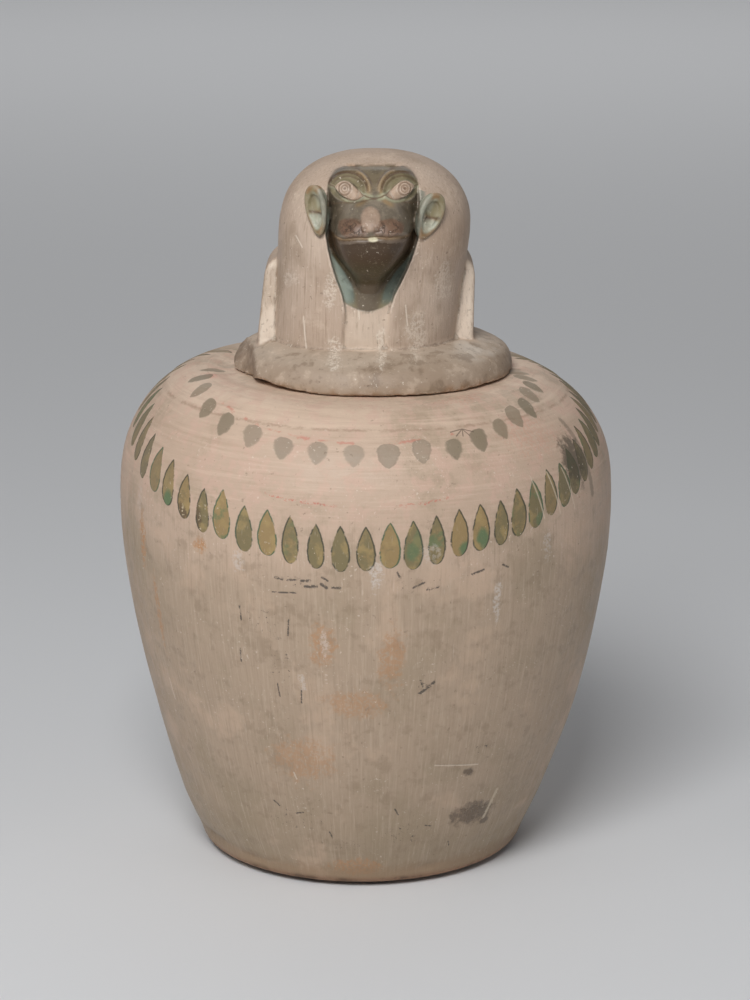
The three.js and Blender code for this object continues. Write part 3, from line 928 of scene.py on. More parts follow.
def jar_points(radius, height, along):
    """The turned shape's points with every dent and shift worked in."""
    angles = np.arange(SEGMENTS) / SEGMENTS * 2 * math.pi
    ring_x, ring_y = np.sin(angles), -np.cos(angles)
    x = (radius[:, None] * ring_x[None]).ravel()
    y = (radius[:, None] * ring_y[None]).ravel()
    z = np.repeat(height, SEGMENTS)
    s = np.repeat(along, SEGMENTS)
    turn, out, sideways, lift = jar_surface(x, y, z, s)
    slope_r, slope_z = np.gradient(radius), np.gradient(height)
    length = np.maximum(np.hypot(slope_r, slope_z), 1e-6)
    normal_r, normal_z = np.repeat(-slope_z / length, SEGMENTS), np.repeat(slope_r / length, SEGMENTS)
    points = np.stack([x, y, z], 1)
    out = out + jar_marks(points, turn, s)
    points[:, 0] += out * normal_r * np.tile(ring_x, len(radius)) + sideways
    points[:, 1] += out * normal_r * np.tile(ring_y, len(radius))
    points[:, 2] += out * normal_z + lift
    under_lid = np.hypot(x, y) < 84.0
    points[:, 2] = np.clip(points[:, 2], 0.0, np.where(under_lid, LIP_Z, 400.0))
    return points, s


def make_jar():
    """The jar as one closed turned mesh, hollow inside."""
    radius, height, along = jar_rows()
    points, s = jar_points(radius, height, along)
    faces = turned_faces(len(radius), len(points), len(points) + 1)
    points = np.vstack([points, [0, 0, JAR_FLOOR], [-FOOT_SHIFT, 0, 0]])
    piece = mesh_piece("pottery_jar", points, faces)
    add_value(piece, "along", np.concatenate([s, [along[0] - 20.0, along[-1] + 8.0]]))
    return piece


# ---------- material tools ----------

class Signal:
    """A number, vector or colour inside a node tree, with ordinary arithmetic."""

    def __init__(self, tree, socket):
        self.tree = tree
        self.socket = socket

    def __add__(self, other):
        return maths(self.tree, "ADD", self, other)

    def __sub__(self, other):
        return maths(self.tree, "SUBTRACT", self, other)

    def __rsub__(self, other):
        return maths(self.tree, "SUBTRACT", other, self)

    def __mul__(self, other):
        return maths(self.tree, "MULTIPLY", self, other)

    def __truediv__(self, other):
        return maths(self.tree, "DIVIDE", self, other)

    def __pow__(self, other):
        return maths(self.tree, "POWER", self, other)

    def __abs__(self):
        return maths(self.tree, "ABSOLUTE", self)

    __radd__ = __add__
    __rmul__ = __mul__


def plug(tree, socket, value):
    """Links a signal to a socket, or sets a plain value on it."""
    if isinstance(value, Signal):
        tree.links.new(value.socket, socket)
    else:
        socket.default_value = value


def maths(tree, operation, *values):
    node = tree.nodes.new("ShaderNodeMath")
    node.operation = operation
    for socket, value in zip(node.inputs, values):
        plug(tree, socket, value)
    return Signal(tree, node.outputs[0])


def vector_maths(tree, operation, first, second, output="Vector"):
    node = tree.nodes.new("ShaderNodeVectorMath")
    node.operation = operation
    plug(tree, node.inputs[0], first)
    if operation == "SCALE":
        plug(tree, node.inputs["Scale"], second)
    elif second is not None:
        plug(tree, node.inputs[1], second)
    return Signal(tree, node.outputs[output])


def soft(value, start, end):
    """0 at start, 1 at end, smooth between."""
    node = value.tree.nodes.new("ShaderNodeMapRange")
    node.interpolation_type = "SMOOTHSTEP"
    plug(value.tree, node.inputs["Value"], value)
    plug(value.tree, node.inputs["From Min"], start)
    plug(value.tree, node.inputs["From Max"], end)
    return Signal(value.tree, node.outputs["Result"])


def spot(value, centre, width):
    """1 at a centre, 0 at width from it."""
    return soft(abs(value - centre), width, 0.0)


def between(value, start, end, edge):
    """1 between two values, with soft ends."""
    return soft(value, start - edge, start + edge) * soft(value, end + edge, end - edge)


def vector(tree, x, y, z):
    node = tree.nodes.new("ShaderNodeCombineXYZ")
    for socket, value in zip(node.inputs, (x, y, z)):
        plug(tree, socket, value)
    return Signal(tree, node.outputs[0])


def split(value):
    node = value.tree.nodes.new("ShaderNodeSeparateXYZ")
    plug(value.tree, node.inputs[0], value)
    return [Signal(value.tree, output) for output in node.outputs]


def noise(place, scale, detail=2.0, roughness=0.5, distortion=0.0):
    """Noise about 0.5, with features 1 / scale millimetres across."""
    node = place.tree.nodes.new("ShaderNodeTexNoise")
    plug(place.tree, node.inputs["Vector"], place)
    node.inputs["Scale"].default_value = scale
    node.inputs["Detail"].default_value = detail
    node.inputs["Roughness"].default_value = roughness
    node.inputs["Distortion"].default_value = distortion
    return Signal(place.tree, node.outputs["Fac"])


def random_at(number, shift):
    """Three random numbers from 0 to 1 that belong to a whole number."""
    node = number.tree.nodes.new("ShaderNodeTexWhiteNoise")
    node.noise_dimensions = "1D"
    plug(number.tree, node.inputs["W"], number + shift)
    split_node = number.tree.nodes.new("ShaderNodeSeparateColor")
    number.tree.links.new(node.outputs["Color"], split_node.inputs[0])
    return [Signal(number.tree, output) for output in split_node.outputs]


def blend(tree, below, above, share):
    node = tree.nodes.new("ShaderNodeMix")
    node.data_type = "RGBA"
    plug(tree, node.inputs["Factor"], share)
    for name, colour in (("A_Color", below), ("B_Color", above)):
        socket = next(item for item in node.inputs if item.identifier == name)
        plug(tree, socket, colour if isinstance(colour, Signal) else (*colour, 1.0))
    return Signal(tree, next(item for item in node.outputs if item.identifier == "Result_Color"))


class Layers:
    """Colours laid over one another inside a material."""

    def __init__(self, tree, colour):
        self.tree = tree
        self.colour = colour

    def lay(self, colour, share):
        self.colour = blend(self.tree, self.colour, colour, share)


def attribute(tree, name, output="Fac"):
    """A value or colour stored on the points of the mesh."""
    node = tree.nodes.new("ShaderNodeAttribute")
    node.attribute_name = name
    return Signal(tree, node.outputs[output])


def object_place(tree):
    """Where a point is on its piece, in millimetres."""
    node = tree.nodes.new("ShaderNodeTexCoord")
    return vector_maths(tree, "SCALE", Signal(tree, node.outputs["Object"]), 1000.0)


def new_group(name, inputs, outputs):
    """An empty node group with its inputs as signals."""
    tree = bpy.data.node_groups.new(name, "ShaderNodeTree")
    for label, kind in inputs:
        tree.interface.new_socket(label, in_out="INPUT", socket_type=kind)
    for label in outputs:
        tree.interface.new_socket(label, in_out="OUTPUT", socket_type="NodeSocketFloat")
    start = tree.nodes.new("NodeGroupInput")
    tree.nodes.new("NodeGroupOutput")
    return tree, {label: Signal(tree, start.outputs[label]) for label, _ in inputs}


def close_group(tree, results):
    """Links the results to the group's outputs."""
    end = next(node for node in tree.nodes if node.bl_idname == "NodeGroupOutput")
    for label, value in results.items():
        plug(tree, end.inputs[label], value)
    return tree


def use(tree, group, values):
    """Puts a node group in a tree and gives its outputs as signals."""
    node = tree.nodes.new("ShaderNodeGroup")
    node.node_tree = group
    for label, value in values.items():
        plug(tree, node.inputs[label], value)
    return {output.name: Signal(tree, output) for output in node.outputs}


FLOAT, VECTOR = "NodeSocketFloat", "NodeSocketVector"


def make_clay_group():
    """Uneven clay: broad mottling, fine grain, pale specks, small pits and their height in millimetres."""
    tree, given = new_group("clay", [("Place", VECTOR)], ["Mottle", "Cloud", "Specks", "Pits", "Height"])
    place = given["Place"]
    mottle = noise(place, 0.022, 4.0, 0.6)
    cloud = noise(place, 0.09, 4.0, 0.65)
    grain = noise(place, 0.9, 3.0, 0.65)
    specks = soft(noise(place, 0.55, 2.0, 0.6), 0.64, 0.72) * soft(noise(place, 0.045, 2.0), 0.46, 0.60)
    pits = soft(noise(place, 0.33, 3.0, 0.6), 0.34, 0.27)
    height = grain * 0.16 + cloud * 0.5 - pits * 0.22 + specks * 0.05
    results = {"Mottle": mottle, "Cloud": cloud, "Specks": specks, "Pits": pits, "Height": height}
    return close_group(tree, results)


def make_striations_group():
    """Fine lines left by a burnishing stone, running along the third direction of Place."""
    tree, given = new_group("striations", [("Place", VECTOR)], ["Streaks", "Scratches"])
    stretched = vector_maths(tree, "MULTIPLY", given["Place"], (1.0, 1.0, 0.055))
    streaks = noise(stretched, 0.75, 3.0, 0.65)
    long_lines = vector_maths(tree, "MULTIPLY", given["Place"], (1.0, 1.0, 0.12))
    where = soft(noise(given["Place"], 0.06, 2.0), 0.45, 0.62)
    scratches = soft(noise(long_lines, 1.3, 1.0), 0.66, 0.74) * where
    return close_group(tree, {"Streaks": streaks, "Scratches": scratches})


def make_dirt_group():
    """Brown dirt that gathers in creases, and pale dust beside it."""
    tree, given = new_group("dirt", [("Place", VECTOR), ("Crease", FLOAT)], ["Dirt", "Dust"])
    patchy = noise(given["Place"], 0.16, 3.0, 0.6)
    dirt = soft(given["Crease"] + (patchy - 0.5) * 0.9, 0.25, 0.8)
    dust = soft(given["Crease"] + (noise(given["Place"], 0.24, 3.0, 0.7) - 0.5) * 2.2, 0.55, 0.95)
    return close_group(tree, {"Dirt": dirt, "Dust": dust})


def make_wear_group():
    """Rubbed, paler edges, broken up so that no edge is worn evenly."""
    tree, given = new_group("edge wear", [("Place", VECTOR), ("Edge", FLOAT)], ["Wear"])
    ragged = noise(given["Place"], 0.30, 4.0, 0.7)
    wear = soft(given["Edge"] + (ragged - 0.5) * 1.6, 0.35, 0.85)
    return close_group(tree, {"Wear": wear})


def make_stroke_group():
    """A short ragged line from Start to End."""
    inputs = [("Point", VECTOR), ("Start", VECTOR), ("End", VECTOR), ("Width", FLOAT), ("Broken", FLOAT)]
    tree, given = new_group("stroke", inputs, ["Mark"])
    out = vector_maths(tree, "SUBTRACT", given["Point"], given["Start"])
    line = vector_maths(tree, "SUBTRACT", given["End"], given["Start"])
    dot = vector_maths(tree, "DOT_PRODUCT", out, line, "Value")
    size = vector_maths(tree, "DOT_PRODUCT", line, line, "Value")
    share = maths(tree, "MINIMUM", maths(tree, "MAXIMUM", dot / size, 0.0), 1.0)
    away = vector_maths(tree, "SUBTRACT", out, vector_maths(tree, "SCALE", line, share))
    distance = vector_maths(tree, "LENGTH", away, None, "Value")
    ragged = noise(given["Point"], 0.55, 2.0, 0.7)
    width = given["Width"] * (1.0 - soft(ragged, 0.5, 0.36) * given["Broken"])
    return close_group(tree, {"Mark": soft(distance, width + 0.35, width * 0.45)})


def make_patch_group():
    """A ragged patch round Centre with the half-sizes in Size."""
    inputs = [("Point", VECTOR), ("Centre", VECTOR), ("Size", VECTOR), ("Ragged", FLOAT)]
    tree, given = new_group("patch", inputs, ["Mark"])
    out = vector_maths(tree, "SUBTRACT", given["Point"], given["Centre"])
    scaled = vector_maths(tree, "DIVIDE", out, given["Size"])
    distance = vector_maths(tree, "LENGTH", scaled, None, "Value")
    edge = noise(given["Point"], 0.16, 4.0, 0.7) - 0.5
    return close_group(tree, {"Mark": soft(distance + edge * given["Ragged"] * 3.0, 1.15, 0.55)})


CLAY = make_clay_group()
STRIATIONS = make_striations_group()
DIRT = make_dirt_group()
WEAR = make_wear_group()
STROKE = make_stroke_group()
PATCH = make_patch_group()


def new_material(name):
    material = bpy.data.materials.new(name)
    material.use_nodes = True
    return material, material.node_tree, material.node_tree.nodes["Principled BSDF"]


def add_bump(tree, shader, height):
    """Bump from a height in millimetres."""
    node = tree.nodes.new("ShaderNodeBump")
    node.inputs["Distance"].default_value = 0.001
    plug(tree, node.inputs["Height"], height)
    tree.links.new(node.outputs["Normal"], shader.inputs["Normal"])


def stroke(point, start, end, width, broken=0.6):
    values = {"Point": point, "Start": (*start, 0.0), "End": (*end, 0.0), "Width": width, "Broken": broken}
    return use(point.tree, STROKE, values)["Mark"]


def patch(point, centre, size, ragged=0.5):
    values = {"Point": point, "Centre": (*centre, 0.0), "Size": (*size, 1.0), "Ragged": ragged}
    return use(point.tree, PATCH, values)["Mark"]


def most(marks):
    """The strongest of several masks."""
    total = marks[0]
    for mark in marks[1:]:
        total = maths(total.tree, "MAXIMUM", total, mark)
    return total


# ---------- the jar's finish ----------

DEGREE = 2.45                              # millimetres round the belly in one degree
CREAM = tint(218, 194, 172)
TAN = tint(196, 171, 150)
GREY_TAN = tint(178, 156, 134)
OLIVE_TAN = tint(160, 142, 118)
PINK_TAN = tint(208, 174, 156)
RAW_CLAY = tint(158, 124, 98)
DROP_OCHRE = tint(152, 128, 86)
DROP_OLIVE = tint(124, 112, 78)
DROP_LINE = tint(58, 60, 46)
DROP_GREEN = tint(88, 116, 80)
SOFT_DROP = tint(146, 132, 114)
RED_LINE = tint(196, 112, 96)
INK = tint(66, 60, 56)
ORANGE = tint(184, 138, 98)
RESIDUE = tint(214, 208, 202)
STAIN = tint(82, 66, 50)
DROP_YELLOW = tint(170, 146, 96)
DROP_SHADED_RIGHT = tint(112, 104, 84)
DROP_SHADED_LEFT = tint(128, 116, 96)
DROP_DAMAGE = tint(92, 74, 54)
DROP_CHIP = tint(206, 190, 160)
GREEN_LINE = tint(64, 96, 70)
SOFT_DROP_SHADED = tint(128, 116, 94)
SOFT_DROP_RIM = tint(118, 108, 92)
RED_SMUDGE = tint(206, 142, 124)
BURNT = tint(84, 76, 62)
BURNT_EDGE = tint(110, 100, 84)
FINE_LINE = tint(214, 198, 176)
CHIP_LINE = tint(206, 190, 166)
SCORE = tint(218, 202, 184)
SCRATCH_BROWN = tint(96, 80, 68)
BRUSH_SHADE = tint(176, 150, 128)
DAMP_BROWN = tint(132, 112, 88)
WARM_TAN = tint(204, 176, 152)
BURNISH_LIGHT = tint(206, 186, 166)
BURNISH_SHADE = tint(142, 122, 100)
RIDGE_SHADE = tint(150, 124, 102)
SHADOW_UNDER_DISC = tint(134, 112, 90)
SPECK = tint(226, 212, 196)
PIT = tint(112, 92, 72)
SCRATCH = tint(214, 198, 180)
FOOT_CLAY = tint(150, 122, 94)
RAW_SHADE = tint(120, 94, 74)

INK_STROKES = [  # degrees round and millimetres down of both ends, then half the width
    (-20.0, 137.6, -18.4, 138.4, 0.9), (-17.3, 138.6, -15.0, 137.8, 0.6), (-14.0, 138.4, -12.2, 138.0, 1.0),
    (-13.2, 141.6, -10.6, 141.0, 1.1), (-9.6, 139.6, -8.4, 141.6, 1.1), (-7.2, 141.2, -5.5, 141.4, 0.9),
    (-9.4, 135.6, -8.2, 137.4, 0.7), (-20.8, 146.4, -15.4, 145.6, 0.5), (7.0, 132.4, 7.6, 135.4, 0.6),
    (10.6, 141.8, 13.0, 139.2, 0.7), (14.2, 143.4, 16.4, 142.4, 0.6), (24.2, 137.0, 27.0, 135.2, 0.8),
    (32.0, 134.0, 33.4, 136.0, 0.6), (-29.3, 157.0, -29.1, 166.0, 0.6), (-17.3, 162.0, -17.6, 172.0, 0.5),
    (-30.1, 184.0, -30.2, 192.0, 0.6), (-21.1, 203.0, -20.8, 211.0, 0.5), (-15.2, 206.0, -15.4, 214.0, 0.5),
    (12.9, 207.5, 16.4, 200.8, 1.2), (13.0, 199.0, 13.6, 203.0, 0.6), (-26.6, 284.0, -25.2, 287.0, 0.7),
    (-20.2, 291.0, -18.0, 290.0, 0.5), (-10.7, 303.0, -10.0, 307.0, 0.6), (8.4, 286.0, 9.4, 290.0, 0.6),
    (18.0, 300.0, 20.0, 301.0, 0.5), (27.4, 316.0, 28.0, 319.0, 0.6)]
INK_AREAS = [  # degrees round, millimetres down and half-sizes of the areas where specks of ink are left
    (-14.0, 139.0, 18, 4), (-23.0, 163.0, 14, 9), (-20.0, 190.0, 9, 22), (13.6, 204.0, 5, 6),
    (12.0, 140.0, 13, 5), (-20.0, 296.0, 22, 8), (14.0, 305.0, 26, 8), (30.0, 250.0, 12, 4),
    (-4.0, 312.0, 20, 5)]
ORANGE_PATCHES = [  # degrees round, millimetres down, half-sizes and strength, as below
                  (-9.6, 176, 8, 14, 0.7), (6.0, 184, 8, 19, 0.6), (-2.4, 213, 20, 9, 0.55),
                  (-16.5, 252, 22, 16, 0.5), (-39.6, 125.7, 5, 5, 1.0), (-61.2, 134, 4, 18, 0.9),
                  (-57.2, 176, 2.6, 24, 0.7), (-3.0, 330, 24, 7, 0.7)]
RESIDUE_PATCHES = [
    (-9.1, 175, 3, 7, 0.8), (-15.0, 201, 3, 5, 0.7), (2.2, 134, 4, 9, 0.9), (30.8, 155, 2.6, 12, 0.9),
    (-29.0, 131, 4, 6, 0.7), (14.6, 122, 5, 7, 0.5), (45.0, 128, 3, 9, 0.6), (-63.0, 108, 3, 9, 0.4)]


def at(place, down):
    """A point on the jar from degrees round it and millimetres down it."""
    return place * DEGREE, down


def jar_place(tree):
    """Places on the jar: degrees round it, millimetres down it, and a place for noise that has no seam."""
    place = object_place(tree)
    x, y, _ = split(place)
    radius = maths(tree, "SQRT", x * x + y * y)
    degrees = maths(tree, "ARCTAN2", x, y * -1.0) * 57.2958
    along = attribute(tree, "along")
    around = maths(tree, "MAXIMUM", radius, 1.0)
    wall = vector(tree, x / around * 146.0, y / around * 146.0, along)
    point = vector(tree, degrees * DEGREE, along, 0.0)
    return place, radius, degrees, along, wall, point


def drop_shape(tree, degrees, radius, along, row):
    """One painted row: distance inside a drop's edge, places up and across it, its random numbers."""
    count = degrees * row["step"] + degrees * degrees * row["bend"] + row["shift"]
    number = maths(tree, "ROUND", count)
    random = random_at(number, row["seed"])
    cosine = maths(tree, "COSINE", degrees / 57.2958)
    bottom = row["bottom"] - (1.0 - cosine) * row["droop"] + (random[0] - 0.5) * row["stray"]
    spacing = radius * 0.017453 / (degrees * 2.0 * row["bend"] + row["step"])
    length = (random[1] - 0.5) * row["vary"] + row["length"]
    up = (bottom - along) / length
    inside_up = maths(tree, "MINIMUM", maths(tree, "MAXIMUM", up, 0.0), 1.0)
    half = inside_up ** row["foot"] * (1.0 - inside_up) ** row["tip"] * row["wide"]
    half = half * (random[2] * 0.22 + 0.89)
    across = (count - number) * spacing + (random[1] - 0.5) * 1.0
    outside = maths(tree, "MAXIMUM", up - 1.0, up * -1.0)
    distance = half - abs(across) - soft(outside, 0.0, 0.02) * 3.0
    return distance, up, across, random


BIG_DROPS = {"step": 1 / 5.4, "bend": 1.72e-4, "shift": 0.0, "seed": 3.7, "bottom": 131.0,
             "droop": 62.0, "stray": 2.6, "length": 26.6, "vary": 3.0, "foot": 0.5, "tip": 0.9, "wide": 13.3}
SMALL_DROPS = {"step": 1 / 8.7 + 1.0e-3, "bend": 1.75e-4, "shift": 2.9 / 8.7, "seed": 11.3, "bottom": 74.2,
               "droop": 56.0, "stray": 2.6, "length": 14.6, "vary": 2.4, "foot": 0.75, "tip": 0.42,
               "wide": 12.2}


GREEN_PLACES = [  # degrees round, millimetres down, half-sizes, raggedness and strength of the greens
    (-50.6, 107.0, 4.0, 10.0, 0.3, 1.0), (22.8, 121.5, 5.0, 5.0, 0.4, 1.0), (26.8, 117.0, 4.0, 7.0, 0.4, 1.0),
    (10.4, 121.0, 4.0, 6.0, 0.4, 0.8)]
DAMAGED_PLACES = [(-46.2, 112.0, 5.0, 9.0, 1.0), (-40.8, 112.0, 4.0, 9.0, 1.1)]


def big_drop_colour(tree, degrees, point, wall, wobble, random):
    """Ochre to olive, greyer towards both sides as painted shade, with green left in some drops and two of
    them damaged.
    """
    body = Layers(tree, blend(tree, DROP_OCHRE, DROP_OLIVE, soft(random[0] + wobble * 1.4, 0.25, 0.75)))
    body.lay(DROP_YELLOW, soft(noise(wall, 0.12, 3.0), 0.50, 0.66) * 0.6)
    # Painted shade: drops on the right and the left are laid greyer, where the jar turns away from the light.
    body.lay(DROP_SHADED_RIGHT, soft(degrees, 30.0, 62.0) * 0.55)
    body.lay(DROP_SHADED_LEFT, soft(degrees, -40.0, -66.0) * 0.6)
    greener = soft(noise(wall, 0.10, 3.0, 0.6), 0.52, 0.62) * soft(random[1], 0.6, 0.9) * 0.6
    greens = most([patch(point, at(*mark[0:2]), mark[2:4], mark[4]) * mark[5] for mark in GREEN_PLACES])
    body.lay(DROP_GREEN, maths(tree, "MAXIMUM", greener, greens * 0.9))
    damage = most([patch(point, at(*mark[0:2]), mark[2:4], mark[4]) for mark in DAMAGED_PLACES])
    body.lay(DROP_DAMAGE, damage * 0.8)
    body.lay(DROP_CHIP, damage * soft(noise(wall, 0.5, 2.0), 0.58, 0.66))
    return body.colour


def paint_big_drops(layers, degrees, radius, along, wall, wobble):
    """The lower row of drops, filled and outlined. Gives the mask of their insides."""
    tree = layers.tree
    distance, up, across, random = drop_shape(tree, degrees, radius, along, BIG_DROPS)
    distance = distance + wobble * 1.3
    shown = soft(abs(degrees), 128.0, 108.0)
    worn = soft(noise(wall, 0.35, 3.0, 0.7), 0.70, 0.60)
    inside = soft(distance, -0.2, 0.5) * shown
    point = vector(tree, degrees * DEGREE, along, 0.0)
    colour = big_drop_colour(tree, degrees, point, wall, wobble, random)
    layers.lay(colour, inside * (worn * 0.12 + 0.84))
    side = soft(across * maths(tree, "SIGN", degrees + 12.0), -3.0, 3.0)
    broken = soft(noise(wall, 0.16, 2.0, 0.6) + side * 0.16, 0.44, 0.56)
    line = soft(abs(distance - 0.2), 0.75, 0.2) * soft(outside_drop(tree, up), 0.05, 0.0) * shown
    layers.lay(blend(tree, DROP_LINE, GREEN_LINE, soft(random[2], 0.55, 0.7)), line * broken * 0.85)
    return inside


def outside_drop(tree, up):
    """How far past either end of a drop a point lies, 0 inside."""
    return maths(tree, "MAXIMUM", maths(tree, "MAXIMUM", up - 1.0, up * -1.0), 0.0)


def paint_small_drops(layers, degrees, radius, along, wobble):
    """The upper row of drops, paler and with soft edges, darker away from the front as painted shade."""
    tree = layers.tree
    distance, _, _, random = drop_shape(tree, degrees, radius, along, SMALL_DROPS)
    distance = distance + wobble * 3.2
    shown = soft(abs(degrees), 100.0, 78.0)
    faint = random[0] * 0.25 + 0.62
    # Painted shade: the small drops darken away from the front, where the jar turns away from the light.
    colour = blend(tree, SOFT_DROP, SOFT_DROP_SHADED, soft(abs(degrees + 8.0), 14.0, 42.0))
    layers.lay(colour, soft(distance, -0.8, 1.2) * shown * faint)
    rim = soft(abs(distance - 0.3), 0.9, 0.2) * soft(random[1], 0.4, 0.7) * shown
    layers.lay(SOFT_DROP_RIM, rim * 0.35)


def paint_red_traces(layers, degrees, along, wall, wobble):
    """What is left of the red lines the ornament was set out with."""
    tree = layers.tree
    cosine = 1.0 - maths(tree, "COSINE", degrees / 57.2958)
    upper = along - (58.6 - cosine * 56.0) + wobble * 4.0
    lower = along - (95.5 - cosine * 62.0) + wobble * 5.0
    kept = soft(noise(wall, 0.10, 3.0, 0.6), 0.50, 0.60)
    thin = soft(noise(wall, 0.55, 2.0, 0.6), 0.42, 0.58)
    first = spot(upper, 0.0, 1.5) * between(degrees, -48.0, 30.0, 5.0)
    second = spot(lower, 0.0, 1.1) * maths(tree, "MAXIMUM", between(degrees, -23.0, -7.0, 2.0),
                                           between(degrees, 8.0, 19.0, 2.0))
    layers.lay(RED_LINE, maths(tree, "MAXIMUM", first * kept * 0.55, second * thin * 0.8))
    point = vector(tree, degrees * DEGREE, along, 0.0)
    smudges = most([patch(point, at(-73.0, 23.0), (12.0, 5.0), 0.8) * 0.8,
                    patch(point, at(34.0, 26.0), (26.0, 7.0), 0.9) * 0.35,
                    patch(point, at(46.0, 62.0), (24.0, 16.0), 0.9) * 0.25])
    layers.lay(RED_SMUDGE, smudges * thin)


SCORES = [  # degrees and millimetres of both ends, half the width, how broken the line is
    (18.6, 257.0, 31.6, 261.0, 0.35, 0.9), (-58.4, 219.0, -58.0, 232.0, 0.5, 0.5),
    (-19.3, 262.0, -18.7, 266.0, 0.6, 0.4)]
FAN_FOOT = (26.6 * DEGREE, 51.4)
FAN = [(-9.0, 1.5), (-6.0, 4.5), (-1.5, 5.0), (3.0, 4.8), (7.0, 2.8)]


def paint_patches(layers, point, fine):
    """Orange wear, pale residue and the burnt blot on the right shoulder."""
    for place, down, half, tall, strength in ORANGE_PATCHES:
        mark = patch(point, at(place, down), (half, tall), 0.8) * soft(fine, 0.36, 0.56)
        layers.lay(ORANGE, mark * strength)
    for place, down, half, tall, strength in RESIDUE_PATCHES:
        mark = patch(point, at(place, down), (half, tall), 1.0) * soft(fine, 0.40, 0.58)
        layers.lay(RESIDUE, mark * strength * 0.6)
    layers.lay(BURNT, patch(point, at(58.0, 84.0), (13.0, 16.0), 0.7) * 0.8)
    layers.lay(BURNT_EDGE, stroke(point, at(62.0, 60.0), at(64.0, 108.0), 3.0, 0.3) * 0.5)
    for start in (41.0, 46.5, 52.0):
        layers.lay(FINE_LINE, stroke(point, at(start, 86.0), at(start + 3.0, 112.0), 0.4) * 0.6)


def paint_stain(layers, point):
    """The brown stain near the foot and the pale chip beside it."""
    stain = most([patch(point, at(34.0, 297.0), (20.0, 9.0), 0.7),
                  patch(point, at(29.0, 265.0), (4.0, 3.0), 0.8),
                  patch(point, at(39.5, 306.0), (5.0, 3.0), 0.7)])
    layers.lay(STAIN, stain * 0.7)
    layers.lay(CHIP_LINE, stroke(point, at(41.3, 284.0), at(39.0, 303.0), 1.6, 0.8) * 0.8)
    return stain


def paint_ink(layers, point, wall, fine):
    """The last traces of a column of writing: short broken strokes and specks."""
    ink = most([stroke(point, at(*line[0:2]), at(*line[2:4]), line[4] * 0.9, 0.95) for line in INK_STROKES])
    worn = soft(noise(wall, 0.42, 4.0, 0.75), 0.60, 0.66)
    traces = most([patch(point, at(*area[0:2]), area[2:4], 0.6) for area in INK_AREAS])
    layers.lay(INK, maths(layers.tree, "MAXIMUM", ink * soft(fine, 0.34, 0.5), traces * worn) * 0.85)
    return ink


def paint_scores(layers, point):
    """Pale scores, and a small fan of brown scratches on the shoulder."""
    scores = most([stroke(point, at(*line[0:2]), at(*line[2:4]), line[4], line[5]) for line in SCORES])
    layers.lay(SCORE, scores * 0.7)
    fan = most([stroke(point, FAN_FOOT, (FAN_FOOT[0] + dx, FAN_FOOT[1] + dy), 0.28, 0.5) for dx, dy in FAN])
    layers.lay(SCRATCH_BROWN, fan * 0.75)
    return scores


def jar_ground(tree, along, clay, lines, brushed, wobble, upper):
    """The unpainted surface: brushed and pale above, burnished downwards and darker below, the pale shoulder
    partly painted light and the darker foot partly painted shade, with painted shade under the ridge and
    under the lid's disc.
    """
    lower = 1.0 - upper
    uneven = clay["Mottle"] - 0.5
    # From cream on the shoulder through tan and grey-tan to olive-tan by the foot: partly the clay's own
    # colour, partly painted light above and painted shade below.
    layers = Layers(tree, blend(tree, CREAM, TAN, soft(along + uneven * 90.0, 4.0, 70.0)))
    layers.lay(GREY_TAN, soft(along + uneven * 60.0, 112.0, 150.0))
    layers.lay(OLIVE_TAN, soft(along + uneven * 120.0, 250.0, 350.0) * 0.8)
    layers.lay(OLIVE_TAN, soft(clay["Mottle"] + wobble * 0.2, 0.50, 0.64) * 0.45)
    layers.lay(PINK_TAN, soft(clay["Cloud"], 0.46, 0.62) * upper * 0.55)
    layers.lay(CREAM, soft(brushed, 0.50, 0.66) * upper * 0.3)
    layers.lay(BRUSH_SHADE, soft(brushed, 0.46, 0.34) * upper * 0.28)
    layers.lay(DAMP_BROWN, soft(clay["Cloud"], 0.49, 0.34) * lower * 0.32)
    layers.lay(WARM_TAN, soft(clay["Mottle"], 0.46, 0.34) * lower * 0.5)
    layers.lay(BURNISH_LIGHT, soft(lines["Streaks"], 0.52, 0.66) * lower * 0.24)
    layers.lay(BURNISH_SHADE, soft(lines["Streaks"], 0.46, 0.32) * lower * 0.26)
    ridge = along + wobble * 3.0
    # Painted shade: a darker line just below the step of the raised ridge.
    layers.lay(RIDGE_SHADE, spot(ridge, 49.6, 1.6) * soft(clay["Cloud"], 0.38, 0.56) * 0.5)
    layers.lay(CREAM, spot(ridge, 45.0, 5.0) * soft(brushed, 0.42, 0.6) * 0.5)
    # Painted shadow: the seat round the lip, under the lid's disc, is laid darker.
    layers.lay(SHADOW_UNDER_DISC, soft(along, 12.0, 0.0) * soft(clay["Cloud"], 0.5, 0.7) * 0.4)
    return layers


def jar_wear(layers, along, clay, lines, wobble, upper):
    """Specks, pits and scratches, the browner foot, and bare clay inside and underneath."""
    layers.lay(SPECK, clay["Specks"] * 0.5)
    layers.lay(PIT, clay["Pits"] * 0.35)
    layers.lay(SCRATCH, lines["Scratches"] * (1.0 - upper) * 0.35)
    layers.lay(FOOT_CLAY, soft(along + wobble * 14.0, 326.0, 336.0) * 0.6)
    bare = maths(layers.tree, "MAXIMUM", soft(along, -8.0, -14.0), soft(along, 337.0, 342.0))
    raw = blend(layers.tree, RAW_CLAY, RAW_SHADE, soft(clay["Cloud"], 0.45, 0.62))
    layers.lay(raw, bare)
    return bare


